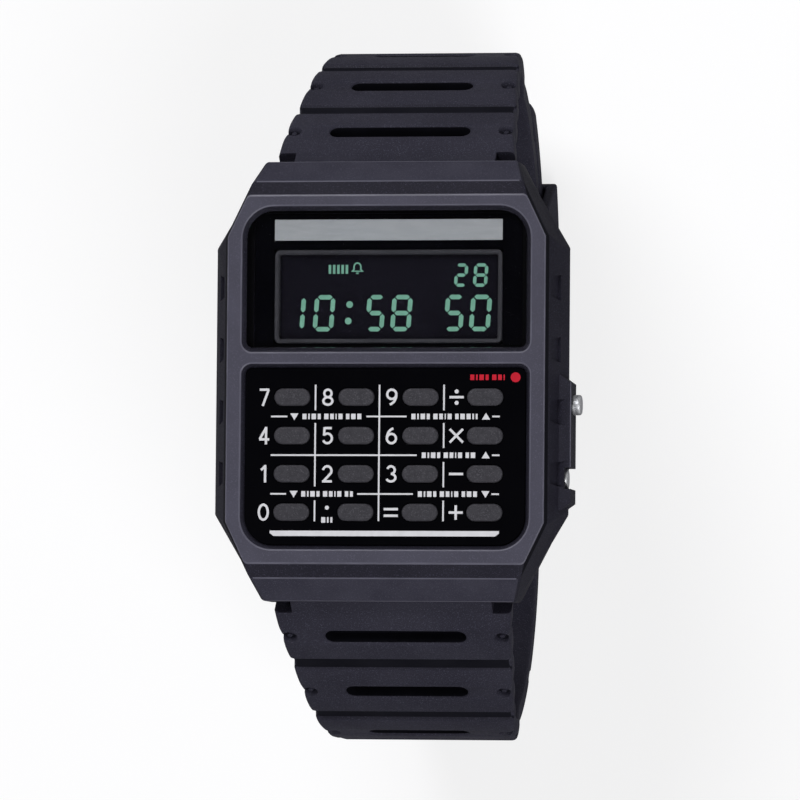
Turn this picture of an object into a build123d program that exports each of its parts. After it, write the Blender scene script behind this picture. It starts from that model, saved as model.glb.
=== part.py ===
from build123d import *
import math
import os

# A digital watch with a sixteen-key calculator pad and a resin strap, closed in its wearing loop.
# Millimetres. The origin is the centre of the case back's outer face, +Z runs out of the display,
# +Y to twelve o'clock and +X to three o'clock, where the two side pushers are.

# Case shell
case_height = 8.2
case_half_width = 17.5
case_half_length = 21.55
widest_level = 3.7
face_half_width = 15.65
face_half_length = 17.95
face_cut_x = 1.9
face_cut_y = 4.0
ridge_drop = 0.6
ridge_half_length = 19.4
ridge_half_width = 15.95
hood_level = 4.9
hood_half_width = 12.5
hood_edge_thickness = 0.4
side_cut_y = 8.5
back_half_width = 16.3
back_plate_proud = 0.4
lug_foot_half_length = 20.68
lug_foot_level = 1.1
shell_corner_radius = 0.6
ceiling_level = 5.7
cavity_half_width = 13.9
cavity_half_length = 15.6
cavity_corner_cut = 3.6

# Shallow recesses down both sides
notch_pitch = 6.06
notch_first_y = 9.05
notch_count = 4
notch_short_length = 1.9
notch_long_length = 2.5
notch_height = 2.0
notch_depth = 0.3

# Windows in the face
window_side_margin = 1.37
display_window_top = 16.97
display_window_bottom = 2.6
keypad_window_top = 1.55
keypad_window_bottom = -16.65
window_chamfer = 0.45
window_corner_outer = 3.2
window_corner_inner = 1.1
glass_sink = 0.25
crystal_seat_level = 6.5
mask_seat_level = 6.0
panel_seat_level = 7.1
fit_gap = 0.05

# Display
mask_length = 12.9
mask_side_margin = 0.63
mask_top_level = 6.42
display_centre_y = 8.155
display_side_margin = 2.58
display_frame_length = 9.17
display_frame_wall = 0.45
display_level = 5.5
display_cell_side_rim = 0.4
display_cell_end_rim = 0.765
display_cell_thickness = 1.0
strip_length = 2.05
strip_thickness = 0.05
strip_centre_y = 14.67
reflector_side_inset = 0.35
reflector_length = 7.2
connector_length = 1.4
connector_side_inset = 0.65

# Keypad
key_columns_x = (-9.16, -2.83, 3.50, 9.84)
key_rows_y = (-1.76, -5.51, -9.23, -12.98)
key_names = (
    ("key_7", "key_8", "key_9", "key_divide"),
    ("key_4", "key_5", "key_6", "key_multiply"),
    ("key_1", "key_2", "key_3", "key_minus"),
    ("key_0", "key_point", "key_equals", "key_plus"),
)
key_length = 3.54
key_width = 1.70
key_proud = 0.25
key_hole_gap = 0.08
key_flange_rim = 0.35
key_flange_thickness = 0.6
key_stem_radius = 0.7
key_stem_length = 1.0
key_edge_radius = 0.18
membrane_thickness = 0.7
dome_radius = 1.1
membrane_width = 25.6
membrane_length = 15.4
membrane_centre_y = -6.85
membrane_corner = 2.95

# Module
back_thickness = 0.9
board_low = 3.0
board_thickness = 0.5
board_half_width = 13.0
board_half_length = 14.7
board_corner_cut = 3.4
frame_wall = 0.7
frame_low = 1.05
frame_gap = 0.1
shelf_edge_y = 1.55
frame_notch_half = 1.6
board_notch_half = 1.45
board_notch_x = 12.35
cell_radius = 10.0
cell_thickness = 1.6
cell_x = -2.5
cell_y = -4.4
cell_lid_radius = 8.6
cell_step = 0.3
clamp_thickness = 0.15
clamp_width = 3.2
contact_thickness = 0.16
contact_length = 7.0
contact_width = 2.6
sheet_thickness = 0.1
disc_radius = 5.3
disc_thickness = 0.2
disc_x = 6.3
disc_y = 9.0
ceramic_radius = 3.6
ceramic_thickness = 0.1
sheet_hole_gap = 0.4
chip_size = 5.0
chip_corner = 1.0
chip_thickness = 0.8
chip_x = -6.6
chip_y = 9.6
quartz_radius = 0.7
quartz_length = 5.4
quartz_x = 10.2
quartz_y = 0.4
buzzer_spring_radius = 0.7
buzzer_spring_wire = 0.22
buzzer_spring_turns = 4

# Case back
plate_half_width = 15.2
plate_half_length = 16.3
plate_corner_cut = 1.2
screw_x = 14.0
screw_y = 13.9
screw_head_radius = 1.0
screw_head_thickness = 0.45
screw_sink = 0.05
screw_shank_radius = 0.6
screw_length = 2.6
screw_slot_width = 0.3
screw_slot_depth = 0.22
gasket_inset = 0.2
gasket_width = 0.4
gasket_height = 0.4

# Side pushers
pusher_level = 3.7
mode_pusher_y = -2.3
adjust_pusher_y = -9.5
mode_pusher_end = 18.74
adjust_pusher_end = 17.5
pusher_head_radius = 1.0
mode_head_length = 1.4
adjust_head_length = 1.1
pusher_edge_radius = 0.12
pusher_shaft_radius = 0.6
pusher_shaft_end = 13.2
pusher_running_gap = 0.06
pusher_spring_seat = 15.3
pusher_spring_wire = 0.16
pusher_spring_turns = 4
seal_room = 0.5
seal_inset = 1.0
seal_groove_radius = 1.0
seal_wire_radius = 0.17
clip_x = 13.55
clip_thickness = 0.2
clip_radius = 1.1
clip_mouth = 0.9
switch_leaf_thickness = 0.15
switch_leaf_height = 1.1
switch_leaf_width = 1.0
switch_foot = 0.8
guard_proud = 0.43
guard_top_y = -0.2
guard_bottom_y = -11.9
guard_bevel = 1.1
guard_low = 1.9
guard_high = 5.6
guard_recess_depth = 0.65
guard_recess_half = 1.05

# Spring bars that carry the strap
bar_y = 19.4
bar_level = 3.0
bar_radius = 0.75
bar_half_length = 9.6
bar_wall = 0.15
bar_end_wall = 0.3
bar_tip_radius = 0.4
bar_tip_reach = 11.3
bar_tip_gap = 0.05
plunger_length = 2.2
plunger_gap = 0.05
bar_spring_wire = 0.14
bar_spring_turns = 9
lug_gap_half = 10.1
lug_hole_depth = 1.4
lug_wall_y = 17.0
lug_relief_radius = 2.25

# Strap
strap_thickness = 2.2
neck_offset = 1.9
neck_angle = 42.0
neck_run = 3.0
front_arc_length = 5.0
front_arc_turn = 14.0
slope_run = 8.5
loop_radius = 22.66
neck_side_gap = 0.15
knuckle_bore_gap = 0.05
shoulder_gap = 0.3
strap_shoulder_half = 12.0
strap_waist_half = 9.75
strap_waist_level = -15.0
strap_back_half = 8.2
strap_back_level = -30.0
slot_first = 6.05
groove_first = 10.7
cell_pitch = 9.2
slot_row_count = 5
groove_count = 5
slot_lengths = (14.2, 12.4, 10.3, 9.4, 8.6)
slot_width = 1.4
slot_depth = 1.3
groove_width = 1.1
groove_depth = 0.5
eyelet_radius = 0.75
eyelet_depth = 0.7
eyelet_inset = 1.5

# Buckle end
layer_gap = 0.3
pivot_inset = 2.14
buckle_reach = 15.0
crossing_length = 8.0
crossing_gap = 3.0
tail_turn = 58.0
tail_tip_radius = 5.0
tongue_hole_length = 5.4
tongue_hole_shift = 0.5
hole_length = 2.8
hole_width = 2.4
hole_pitch = 7.0
hole_steps = (-2, -1, 1, 2, 3)
pivot_bar_radius = 0.6
pivot_bore_gap = 0.05
tongue_half_width = 0.9
tongue_notch_gap = 0.3
tongue_notch_depth = 3.0
tongue_thickness = 0.7
tongue_rest_gap = 0.42
tongue_overhang = 1.3
buckle_side_gap = 0.3
buckle_arm_width = 1.6
buckle_arm_height = 2.4
buckle_bar_inset = 0.2
front_bar_length = 2.4
front_bar_thickness = 1.4
keeper_gap = 0.25
keeper_wall = 1.0
keeper_side_wall = 1.1
keeper_length = 7.0
keeper_start_angle = 8.3

# One overrun serves every cut that runs out of its piece
overrun = 1.0


def box(x_low, x_high, y_low, y_high, z_low, z_high):
    """Block between two corners."""
    size = Box(x_high - x_low, y_high - y_low, z_high - z_low)
    return Pos((x_low + x_high) / 2, (y_low + y_high) / 2, (z_low + z_high) / 2) * size


def octagon(half_x, half_y, cut_x, cut_y, corner=0):
    """Rectangle with cut corners, seen from the front."""
    points = []
    for sx, sy in ((1, 1), (-1, 1), (-1, -1), (1, -1)):
        pair = [(sx * half_x, sy * (half_y - cut_y)), (sx * (half_x - cut_x), sy * half_y)]
        points += pair if sx == sy else pair[::-1]
    face = make_face(Polyline(*points, close=True))
    return fillet(face.vertices(), corner) if corner else face


def prism(sketch, low, high, at=(0, 0)):
    """Sketch raised from one level to another."""
    return Pos(at[0], at[1], low) * extrude(sketch, high - low)


def rod(radius, x_low, x_high, y, z):
    """Round bar along X."""
    centre = Pos((x_low + x_high) / 2, y, z)
    return centre * Rot(Y=90) * Cylinder(radius, x_high - x_low)


def across(sketch, half_width):
    """Side view, drawn with Y and Z, made as wide as the watch needs."""
    return extrude(Plane.YZ * sketch, half_width, both=True)


def coil(radius, wire, turns, start, length):
    """Open spring of round wire that stands on the plane `start`."""
    pitch = (length - 2 * wire) / turns
    line = Helix(pitch, length - 2 * wire, radius)
    section = Plane(origin=line @ 0, z_dir=line % 0) * Circle(wire / 2)
    return start * Pos(0, 0, wire) * sweep(section, line, is_frenet=True)


# Levels and sizes that follow from the ones above
ridge_level = case_height - ridge_drop
glass_level = case_height - glass_sink
window_half_width = face_half_width - window_side_margin
window_seat_half = window_half_width - window_chamfer
mask_width = 2 * (window_seat_half - mask_side_margin)
display_frame_width = 2 * (window_seat_half - display_side_margin)
display_cell_width = display_frame_width + 2 * display_cell_side_rim
display_cell_length = display_frame_length + 2 * display_cell_end_rim
reflector_width = display_cell_width - 2 * reflector_side_inset
connector_width = display_cell_width - 2 * connector_side_inset
board_top = board_low + board_thickness
key_top = glass_level + key_proud
flange_top = panel_seat_level - fit_gap
flange_low = flange_top - key_flange_thickness
stem_low = flange_low - key_stem_length
cell_low = board_low - contact_thickness - cell_thickness
side_slope = (case_half_width - ridge_half_width) / (ridge_level - widest_level)
case_bottom = back_plate_proud
seal_start = pusher_spring_seat - seal_inset


def shell_outline(level, half_x, half_y, cut_x, cut_y, corner):
    return Pos(0, 0, level) * octagon(half_x, half_y, cut_x, cut_y, corner)


def case_shell():
    """Outside of the case: flat face, sloping ends that hood the strap, and facets at the sides."""
    ridge_cut_x = face_cut_x + (ridge_half_length - face_half_length) / 2
    ridge_cut_y = face_cut_y + (ridge_half_length - face_half_length)
    hood_half = ridge_half_width + side_slope * (ridge_level - hood_level)
    hood_cut_x = hood_half - hood_half_width
    wide_cut_x = case_half_width - hood_half_width
    foot_half = (case_half_width + back_half_width) / 2
    outlines = [
        (case_bottom, back_half_width, lug_foot_half_length, back_half_width - hood_half_width,
         side_cut_y - (case_half_length - lug_foot_half_length)),
        (lug_foot_level, foot_half, case_half_length, foot_half - hood_half_width, side_cut_y),
        (widest_level, case_half_width, case_half_length, wide_cut_x, side_cut_y),
        (hood_level, hood_half, case_half_length, hood_cut_x, side_cut_y),
        (ridge_level, ridge_half_width, ridge_half_length, ridge_cut_x, ridge_cut_y),
        (case_height, face_half_width, face_half_length, face_cut_x, face_cut_y),
    ]
    shell = None
    for lower, upper in zip(outlines, outlines[1:]):
        slab = loft([shell_outline(*lower, shell_corner_radius),
                     shell_outline(*upper, shell_corner_radius)], ruled=True)
        shell = slab if shell is None else shell + slab
    return shell


def pusher_guard():
    """Raised pad round the two pushers, open where the lower one is sunk."""
    inner = case_half_width - guard_bevel
    outer = case_half_width + guard_proud
    outline = Polyline(
        (inner, guard_top_y + guard_bevel), (outer, guard_top_y), (outer, guard_bottom_y),
        (inner, guard_bottom_y - guard_bevel), close=True)
    pad = prism(make_face(outline), guard_low, guard_high)
    recess = box(outer - guard_recess_depth, outer + overrun,
                 adjust_pusher_y - guard_recess_half, adjust_pusher_y + guard_recess_half,
                 guard_low - overrun, guard_high + overrun)
    return pad, recess


def window_cut(top, bottom, seat_level, round_top):
    """Pocket for a pane, with the chamfered rim that shows round it."""
    corner_top = window_corner_outer if round_top else window_corner_inner
    corner_bottom = window_corner_inner if round_top else window_corner_outer
    faces = []
    for inset, level in ((0, case_height), (window_chamfer, case_height - window_chamfer)):
        face = pane_outline(top - inset, bottom + inset, window_half_width - inset,
                            corner_top - inset, corner_bottom - inset)
        faces.append(Pos(0, 0, level) * face)
    rim = loft(faces, ruled=True)
    pocket = prism(pane_outline(top - window_chamfer, bottom + window_chamfer, window_seat_half,
                                corner_top - window_chamfer, corner_bottom - window_chamfer),
                   seat_level, case_height - window_chamfer)
    return rim + pocket


def pane_outline(top, bottom, half_width, corner_top, corner_bottom):
    """Upright pane: two corners of one radius above, two of another below."""
    face = Pos(0, (top + bottom) / 2) * Rectangle(2 * half_width, top - bottom)
    upper = face.vertices().sort_by(Axis.Y)[2:]
    face = fillet(upper, corner_top)
    lower = face.vertices().sort_by(Axis.Y)[:2]
    return fillet(lower, corner_bottom)


def side_notches():
    """Shallow trapezoid recesses down both sides of the case."""
    level = (ridge_level + hood_level) / 2
    reach = ridge_half_width + side_slope * (ridge_level - level)
    steep = math.hypot(1, side_slope)
    outline = Polyline(
        (-notch_long_length / 2, -notch_height / 2), (notch_long_length / 2, -notch_height / 2),
        (notch_short_length / 2, notch_height / 2), (-notch_short_length / 2, notch_height / 2),
        close=True)
    notches = []
    for side in (1, -1):
        for row in range(notch_count):
            y = notch_first_y - row * notch_pitch
            normal = (side / steep, 0, side_slope / steep)
            facet = Plane(origin=(side * reach, y, level), x_dir=(0, side, 0), z_dir=normal)
            sunk = facet.offset(-notch_depth)
            notches.append(extrude(sunk * make_face(outline), notch_depth + overrun))
    return notches


def lug_space():
    """Room for the strap's neck between the two lugs of each end, below the hood."""
    relief = Pos(bar_y, bar_level) * Circle(lug_relief_radius)
    depth = -overrun
    far = case_half_length + 2 * overrun
    lower = make_face(Polyline((lug_wall_y, depth), (far, depth), (far, bar_level),
                               (lug_wall_y, bar_level), close=True))
    hood_under = hood_level - hood_edge_thickness
    drop = (bar_level + lug_relief_radius - hood_under) / (case_half_length - bar_y)
    wedge = make_face(Polyline((bar_y, bar_level), (bar_y, bar_level + lug_relief_radius),
                               (case_half_length, hood_under),
                               (far, hood_under - drop * (far - case_half_length)),
                               (far, bar_level), close=True))
    space = across(relief + lower + wedge, lug_gap_half)
    return [space, mirror(space, Plane.XZ)]


def pusher_bores():
    """Stepped holes for the two pushers and the grooves for their seals."""
    cuts = []
    for y in (mode_pusher_y, adjust_pusher_y):
        bore = pusher_shaft_radius + pusher_running_gap
        cuts.append(rod(bore, cavity_half_width - overrun, case_half_width, y, pusher_level))
        cuts.append(rod(pusher_head_radius + pusher_running_gap, pusher_spring_seat,
                        case_half_width + overrun, y, pusher_level))
        cuts.append(rod(seal_groove_radius, seal_start, seal_start + seal_room, y, pusher_level))
    return cuts


def case_body():
    """One moulded resin shell with the module cavity, both windows, lugs and pusher bores."""
    pad, recess = pusher_guard()
    body = case_shell() + pad
    cavity = prism(octagon(cavity_half_width, cavity_half_length, cavity_corner_cut,
                           cavity_corner_cut), case_bottom - overrun, ceiling_level)
    seat = prism(octagon(plate_half_width + fit_gap, plate_half_length + fit_gap,
                         plate_corner_cut, plate_corner_cut), case_bottom - overrun, back_thickness)
    mask_hole = prism(Rectangle(mask_width + 2 * fit_gap, mask_length + 2 * fit_gap),
                      mask_seat_level, crystal_seat_level,
                      (0, (display_window_top + display_window_bottom) / 2))
    frame_hole = prism(Rectangle(display_frame_width + 2 * frame_gap,
                                 display_frame_length + 2 * frame_gap),
                       ceiling_level, mask_seat_level, (0, display_centre_y))
    key_room_top = key_rows_y[0] + key_width / 2 + 2 * key_flange_rim + frame_gap
    key_room_bottom = key_rows_y[-1] - key_width / 2 - 2 * key_flange_rim - frame_gap
    key_room_half = key_columns_x[-1] + key_length / 2 + 2 * key_flange_rim + frame_gap
    key_room = box(-key_room_half, key_room_half, key_room_bottom, key_room_top,
                   ceiling_level - overrun, panel_seat_level)
    groove = gasket_ring(fit_gap)
    cuts = [cavity, seat, mask_hole, frame_hole, key_room, groove, recess]
    cuts.append(window_cut(display_window_top, display_window_bottom, crystal_seat_level, True))
    cuts.append(window_cut(keypad_window_top, keypad_window_bottom, panel_seat_level, False))
    cuts += lug_space() + side_notches() + pusher_bores()
    for end in (1, -1):
        for side in (1, -1):
            low, high = sorted((side * (lug_gap_half - overrun), side * (lug_gap_half + lug_hole_depth)))
            cuts.append(rod(bar_tip_radius + bar_tip_gap, low, high, end * bar_y, bar_level))
            thread = Cylinder(screw_shank_radius, screw_length)
            level = screw_sink + screw_head_thickness + screw_length / 2
            cuts.append(Pos(side * screw_x, end * screw_y, level) * thread)
    return body - cuts


def gasket_ring(clearance):
    """Flat ring that follows the cavity's edge."""
    inner = cavity_half_width + gasket_inset - clearance
    inner_length = cavity_half_length + gasket_inset - clearance
    wide = gasket_width + 2 * clearance
    corner_share = 2 - math.sqrt(2)
    inner_cut = cavity_corner_cut + corner_share * (inner - cavity_half_width)
    outer_cut = inner_cut + corner_share * wide
    ring = octagon(inner + wide, inner_length + wide, outer_cut, outer_cut)
    ring -= octagon(inner, inner_length, inner_cut, inner_cut)
    return prism(ring, back_thickness, back_thickness + gasket_height)


def crystal():
    """Flat window over the display."""
    corner = window_corner_outer - window_chamfer - fit_gap
    outline = pane_outline(display_window_top - window_chamfer - fit_gap,
                           display_window_bottom + window_chamfer + fit_gap,
                           window_seat_half - fit_gap, corner,
                           window_corner_inner - window_chamfer)
    return prism(outline, crystal_seat_level, glass_level)


def display_mask():
    """Dark plate behind the crystal, open over the display."""
    plate = prism(Rectangle(mask_width, mask_length), mask_seat_level, mask_top_level,
                  (0, (display_window_top + display_window_bottom) / 2))
    hole = prism(Rectangle(display_frame_width + 2 * fit_gap, display_frame_length + 2 * fit_gap),
                 mask_seat_level - overrun, mask_top_level + overrun, (0, display_centre_y))
    return plate - hole


def strip_plate():
    """Thin silver plate on the mask, above the display."""
    return prism(Rectangle(display_frame_width, strip_length), mask_top_level,
                 mask_top_level + strip_thickness, (0, strip_centre_y))


def display_frame():
    """Grey frame that stands on the display and shows through the mask."""
    outer = Rectangle(display_frame_width, display_frame_length)
    inner = Rectangle(display_frame_width - 2 * display_frame_wall,
                      display_frame_length - 2 * display_frame_wall)
    return prism(outer - inner, display_level, mask_top_level, (0, display_centre_y))


def display_cell():
    """Liquid crystal cell."""
    return prism(Rectangle(display_cell_width, display_cell_length),
                 display_level - display_cell_thickness, display_level, (0, display_centre_y))


def display_reflector():
    """Block behind the display cell, between the two contact strips."""
    return prism(Rectangle(reflector_width, reflector_length), board_top,
                 display_level - display_cell_thickness, (0, display_centre_y))


def contact_strips():
    """Two striped rubber connectors from the board to the display cell."""
    offset = (display_cell_length - connector_length) / 2
    strips = [prism(Rectangle(connector_width, connector_length), board_top,
                    display_level - display_cell_thickness, (0, display_centre_y + side * offset))
              for side in (1, -1)]
    return Compound(children=strips)


def module_frame():
    """Plastic ring that locates the board and carries the display."""
    half_x = cavity_half_width - frame_gap
    half_y = cavity_half_length - frame_gap
    outline = octagon(half_x, half_y, cavity_corner_cut, cavity_corner_cut)
    body = prism(outline, frame_low, ceiling_level)
    inside = octagon(half_x - frame_wall, half_y - frame_wall, board_corner_cut, board_corner_cut)
    body -= prism(inside, frame_low - overrun, board_top)
    body -= prism(inside, frame_low - overrun, ceiling_level + overrun) & box(
        -cavity_half_width, cavity_half_width, -cavity_half_length, shelf_edge_y,
        frame_low - overrun, ceiling_level + overrun)
    body -= prism(Rectangle(display_cell_width + 2 * fit_gap, display_cell_length + 2 * fit_gap),
                  board_top - overrun, ceiling_level + overrun, (0, display_centre_y))
    for y in (mode_pusher_y, adjust_pusher_y):
        body -= box(cavity_half_width - frame_wall - 2 * frame_gap - overrun, cavity_half_width,
                    y - frame_notch_half, y + frame_notch_half,
                    pusher_level - frame_notch_half, pusher_level + frame_notch_half)
    return body


def board_outline():
    outline = octagon(board_half_width, board_half_length, board_corner_cut, board_corner_cut)
    for y in (mode_pusher_y, adjust_pusher_y):
        notch_length = board_half_width - board_notch_x + overrun
        outline -= Pos(board_notch_x + notch_length / 2, y) * Rectangle(notch_length,
                                                                        2 * board_notch_half)
    return outline


def circuit_board():
    """Main board, notched where the pushers come in."""
    return prism(board_outline(), board_low, board_top)


def processor():
    """Resin-capped chip under the board."""
    return prism(RectangleRounded(chip_size, chip_size, chip_corner),
                 board_low - chip_thickness, board_low, (chip_x, chip_y))


def quartz_can():
    """Round metal can of the timing crystal, lying under the board."""
    can = Pos(quartz_x, quartz_y, board_low - quartz_radius) * Rot(X=90) * Cylinder(
        quartz_radius, quartz_length)
    return can


def coin_cell():
    """Button cell: wide can with a stepped lid on the board side."""
    can = Pos(cell_x, cell_y, cell_low) * extrude(Circle(cell_radius), cell_thickness - cell_step)
    lid = Pos(cell_x, cell_y, cell_low + cell_thickness - cell_step) * extrude(
        Circle(cell_lid_radius), cell_step)
    return can + lid


def cell_clamp():
    """Steel strap under the cell with a leg up to the board at each end."""
    low = cell_low - clamp_thickness
    leg = cell_radius + fit_gap + clamp_thickness
    y_low = cell_y - clamp_width / 2
    y_high = cell_y + clamp_width / 2
    clamp = box(cell_x - leg, cell_x + leg, y_low, y_high, low, cell_low)
    for side in (1, -1):
        near = cell_x + side * (leg - clamp_thickness)
        far = cell_x + side * leg
        x_low, x_high = sorted((near, far))
        clamp += box(x_low, x_high, y_low, y_high, low, board_low)
    return clamp


def cell_contact():
    """Spring leaf between the cell's lid and the board."""
    return box(cell_x - contact_length / 2, cell_x + contact_length / 2, cell_y - contact_width / 2,
               cell_y + contact_width / 2, board_low - contact_thickness, board_low)


def insulator_sheet():
    """Thin film on the case back, cut out round the sounder."""
    half_x = cavity_half_width - frame_gap
    half_y = cavity_half_length - frame_gap
    film = octagon(half_x, half_y, cavity_corner_cut, cavity_corner_cut)
    film -= Pos(disc_x, disc_y) * Circle(disc_radius + sheet_hole_gap)
    return prism(film, back_thickness, back_thickness + sheet_thickness)


def buzzer_disc():
    """Sounder: brass disc glued to the case back, with its ceramic layer."""
    plate = Pos(disc_x, disc_y, back_thickness) * extrude(Circle(disc_radius), disc_thickness)
    ceramic = Pos(disc_x, disc_y, back_thickness + disc_thickness) * extrude(
        Circle(ceramic_radius), ceramic_thickness)
    return plate + ceramic


def buzzer_spring():
    """Coil spring that joins the sounder to the board."""
    low = back_thickness + disc_thickness + ceramic_thickness
    return coil(buzzer_spring_radius, buzzer_spring_wire, buzzer_spring_turns,
                Pos(disc_x, disc_y, low), board_low - low)


def key_cells():
    for names, y in zip(key_names, key_rows_y):
        for name, x in zip(names, key_columns_x):
            yield name, x, y


def keypad_panel():
    """Black plate with a long hole for each key."""
    corner = window_corner_outer - window_chamfer - fit_gap
    outline = pane_outline(keypad_window_top - window_chamfer - fit_gap,
                           keypad_window_bottom + window_chamfer + fit_gap,
                           window_seat_half - fit_gap, window_corner_inner - window_chamfer, corner)
    for _, x, y in key_cells():
        outline -= Pos(x, y) * SlotOverall(key_length + 2 * key_hole_gap,
                                           key_width + 2 * key_hole_gap)
    return prism(outline, panel_seat_level, glass_level)


def keypad_membrane():
    """Rubber sheet with a dome under each key."""
    outline = octagon(membrane_width / 2, membrane_length / 2, membrane_corner, membrane_corner)
    sheet = prism(Pos(0, membrane_centre_y) * outline, board_top, board_top + membrane_thickness)
    for y in (mode_pusher_y, adjust_pusher_y):
        sheet -= box(board_notch_x - switch_foot - fit_gap, board_half_width, y - frame_notch_half,
                     y + frame_notch_half, board_top, board_top + membrane_thickness)
    low = board_top + membrane_thickness
    high = stem_low - fit_gap
    for _, x, y in key_cells():
        sheet += Pos(x, y, (low + high) / 2) * Cone(dome_radius, key_stem_radius, high - low)
    return sheet


def calculator_key(x, y):
    """Long key with a flange under the panel and a stem over its dome."""
    cap = Pos(x, y, flange_top) * extrude(SlotOverall(key_length, key_width), key_top - flange_top)
    rim = cap.edges().group_by(Axis.Z)[-1]
    cap = fillet(rim, key_edge_radius)
    flange = Pos(x, y, flange_low) * extrude(
        SlotOverall(key_length + 2 * key_flange_rim, key_width + 2 * key_flange_rim),
        key_flange_thickness)
    stem = Pos(x, y, stem_low) * extrude(Circle(key_stem_radius), key_stem_length)
    return cap + flange + stem


def screw_places():
    return [(sx * screw_x, sy * screw_y) for sx in (1, -1) for sy in (1, -1)]


def case_back():
    """Steel plate that closes the case, counterbored for four screws."""
    plate = prism(octagon(plate_half_width, plate_half_length, plate_corner_cut, plate_corner_cut),
                  0, back_thickness)
    seat = screw_sink + screw_head_thickness
    for x, y in screw_places():
        plate -= Pos(x, y, 0) * extrude(Circle(screw_head_radius + fit_gap), seat)
        plate -= Pos(x, y, 0) * extrude(Circle(screw_shank_radius + fit_gap), back_thickness)
    return plate


def case_back_screws():
    """Four slotted screws."""
    screws = []
    for x, y in screw_places():
        head = Pos(x, y, screw_sink) * extrude(Circle(screw_head_radius), screw_head_thickness)
        shank = Pos(x, y, screw_sink + screw_head_thickness) * extrude(
            Circle(screw_shank_radius), screw_length)
        slot = Pos(x, y, screw_sink + screw_slot_depth / 2) * Box(
            2 * screw_head_radius, screw_slot_width, screw_slot_depth)
        screws.append(head + shank - slot)
    return Compound(children=screws)


def side_pusher(y, end, head_length):
    """Round steel pusher along X: head, shaft and rounded outer edge."""
    head = rod(pusher_head_radius, end - head_length, end, y, pusher_level)
    head = fillet(head.edges().group_by(Axis.X)[-1], pusher_edge_radius)
    return head + rod(pusher_shaft_radius, pusher_shaft_end, end - head_length, y, pusher_level)


def pusher_clip(y):
    """Open ring that stops the pusher from coming out."""
    ring = rod(clip_radius, clip_x, clip_x + clip_thickness, y, pusher_level)
    ring -= rod(pusher_shaft_radius, clip_x, clip_x + clip_thickness, y, pusher_level)
    mouth = box(clip_x, clip_x + clip_thickness, y - clip_mouth / 2, y + clip_mouth / 2,
                pusher_level, pusher_level + clip_radius)
    return ring - mouth


def pusher_spring(y, head_face):
    """Return spring round the pusher's shaft."""
    radius = (pusher_head_radius + pusher_shaft_radius) / 2
    start = Pos(pusher_spring_seat, y, pusher_level) * Rot(Y=90)
    return coil(radius, pusher_spring_wire, pusher_spring_turns, start,
                head_face - pusher_spring_seat)


def pusher_seals():
    """Rubber ring in each pusher's groove."""
    rings = []
    major = seal_groove_radius - seal_wire_radius - fit_gap / 2
    for y in (mode_pusher_y, adjust_pusher_y):
        place = Pos(seal_start + seal_room / 2, y, pusher_level) * Rot(Y=90)
        rings.append(place * Torus(major, seal_wire_radius))
    return Compound(children=rings)


def switch_contacts():
    """Two spring leaves on the board that the pushers' ends touch."""
    leaves = []
    for y in (mode_pusher_y, adjust_pusher_y):
        foot = box(board_notch_x - switch_foot, board_notch_x, y - switch_leaf_width / 2,
                   y + switch_leaf_width / 2, board_top, board_top + switch_leaf_thickness)
        leaf = box(board_notch_x - switch_leaf_thickness, board_notch_x, y - switch_leaf_width / 2,
                   y + switch_leaf_width / 2, board_top, board_top + switch_leaf_height)
        leaves.append(foot + leaf)
    return Compound(children=leaves)


def bar_tube(y):
    """Hollow body of a spring bar, with a small hole in each end."""
    tube = rod(bar_radius, -bar_half_length, bar_half_length, y, bar_level)
    inside = bar_half_length - bar_end_wall
    tube -= rod(bar_radius - bar_wall, -inside, inside, y, bar_level)
    hole = bar_tip_radius + bar_tip_gap
    return tube - rod(hole, -bar_half_length, bar_half_length, y, bar_level)


def bar_tip(y, side):
    """Sprung end pin of a spring bar."""
    face = bar_half_length - bar_end_wall - fit_gap
    spans = (
        (bar_radius - bar_wall - plunger_gap, face - plunger_length, face),
        (bar_tip_radius, face, bar_tip_reach),
    )
    tip = None
    for radius, near, far in spans:
        low, high = sorted((side * near, side * far))
        piece = rod(radius, low, high, y, bar_level)
        tip = piece if tip is None else tip + piece
    return tip


def bar_springs():
    """Spring inside each spring bar, between its two tips."""
    half = bar_half_length - bar_end_wall - fit_gap - plunger_length
    radius = bar_radius - bar_wall - plunger_gap - bar_spring_wire
    coils = []
    for end in (1, -1):
        start = Pos(-half, end * bar_y, bar_level) * Rot(Y=90)
        coils.append(coil(radius, bar_spring_wire, bar_spring_turns, start, 2 * half))
    return Compound(children=coils)


# The strap's outer line in side view, from the spring bar round to the back of the loop.
# Each leg is (length, turn in degrees); the heading is measured below the +Y direction.
slope_angle = neck_angle + front_arc_turn


def foot_point():
    steep = math.radians(neck_angle)
    return (bar_y + neck_offset * math.sin(steep), bar_level + neck_offset * math.cos(steep))


def walk(legs, distance, depth=0):
    """Place on the outer line, `depth` towards the wrist, with its heading."""
    y, z = foot_point()
    heading = neck_angle
    left = distance
    for length, turn in legs:
        step = min(left, length)
        if turn:
            radius = length / math.radians(turn)
            new = heading + turn * step / length
            y += radius * (math.sin(math.radians(new)) - math.sin(math.radians(heading)))
            z += radius * (math.cos(math.radians(new)) - math.cos(math.radians(heading)))
            heading = new
        else:
            y += step * math.cos(math.radians(heading))
            z -= step * math.sin(math.radians(heading))
        left -= step
        if left <= 0:
            break
    steep = math.radians(heading)
    return y - depth * math.sin(steep), z - depth * math.cos(steep), heading


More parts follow.
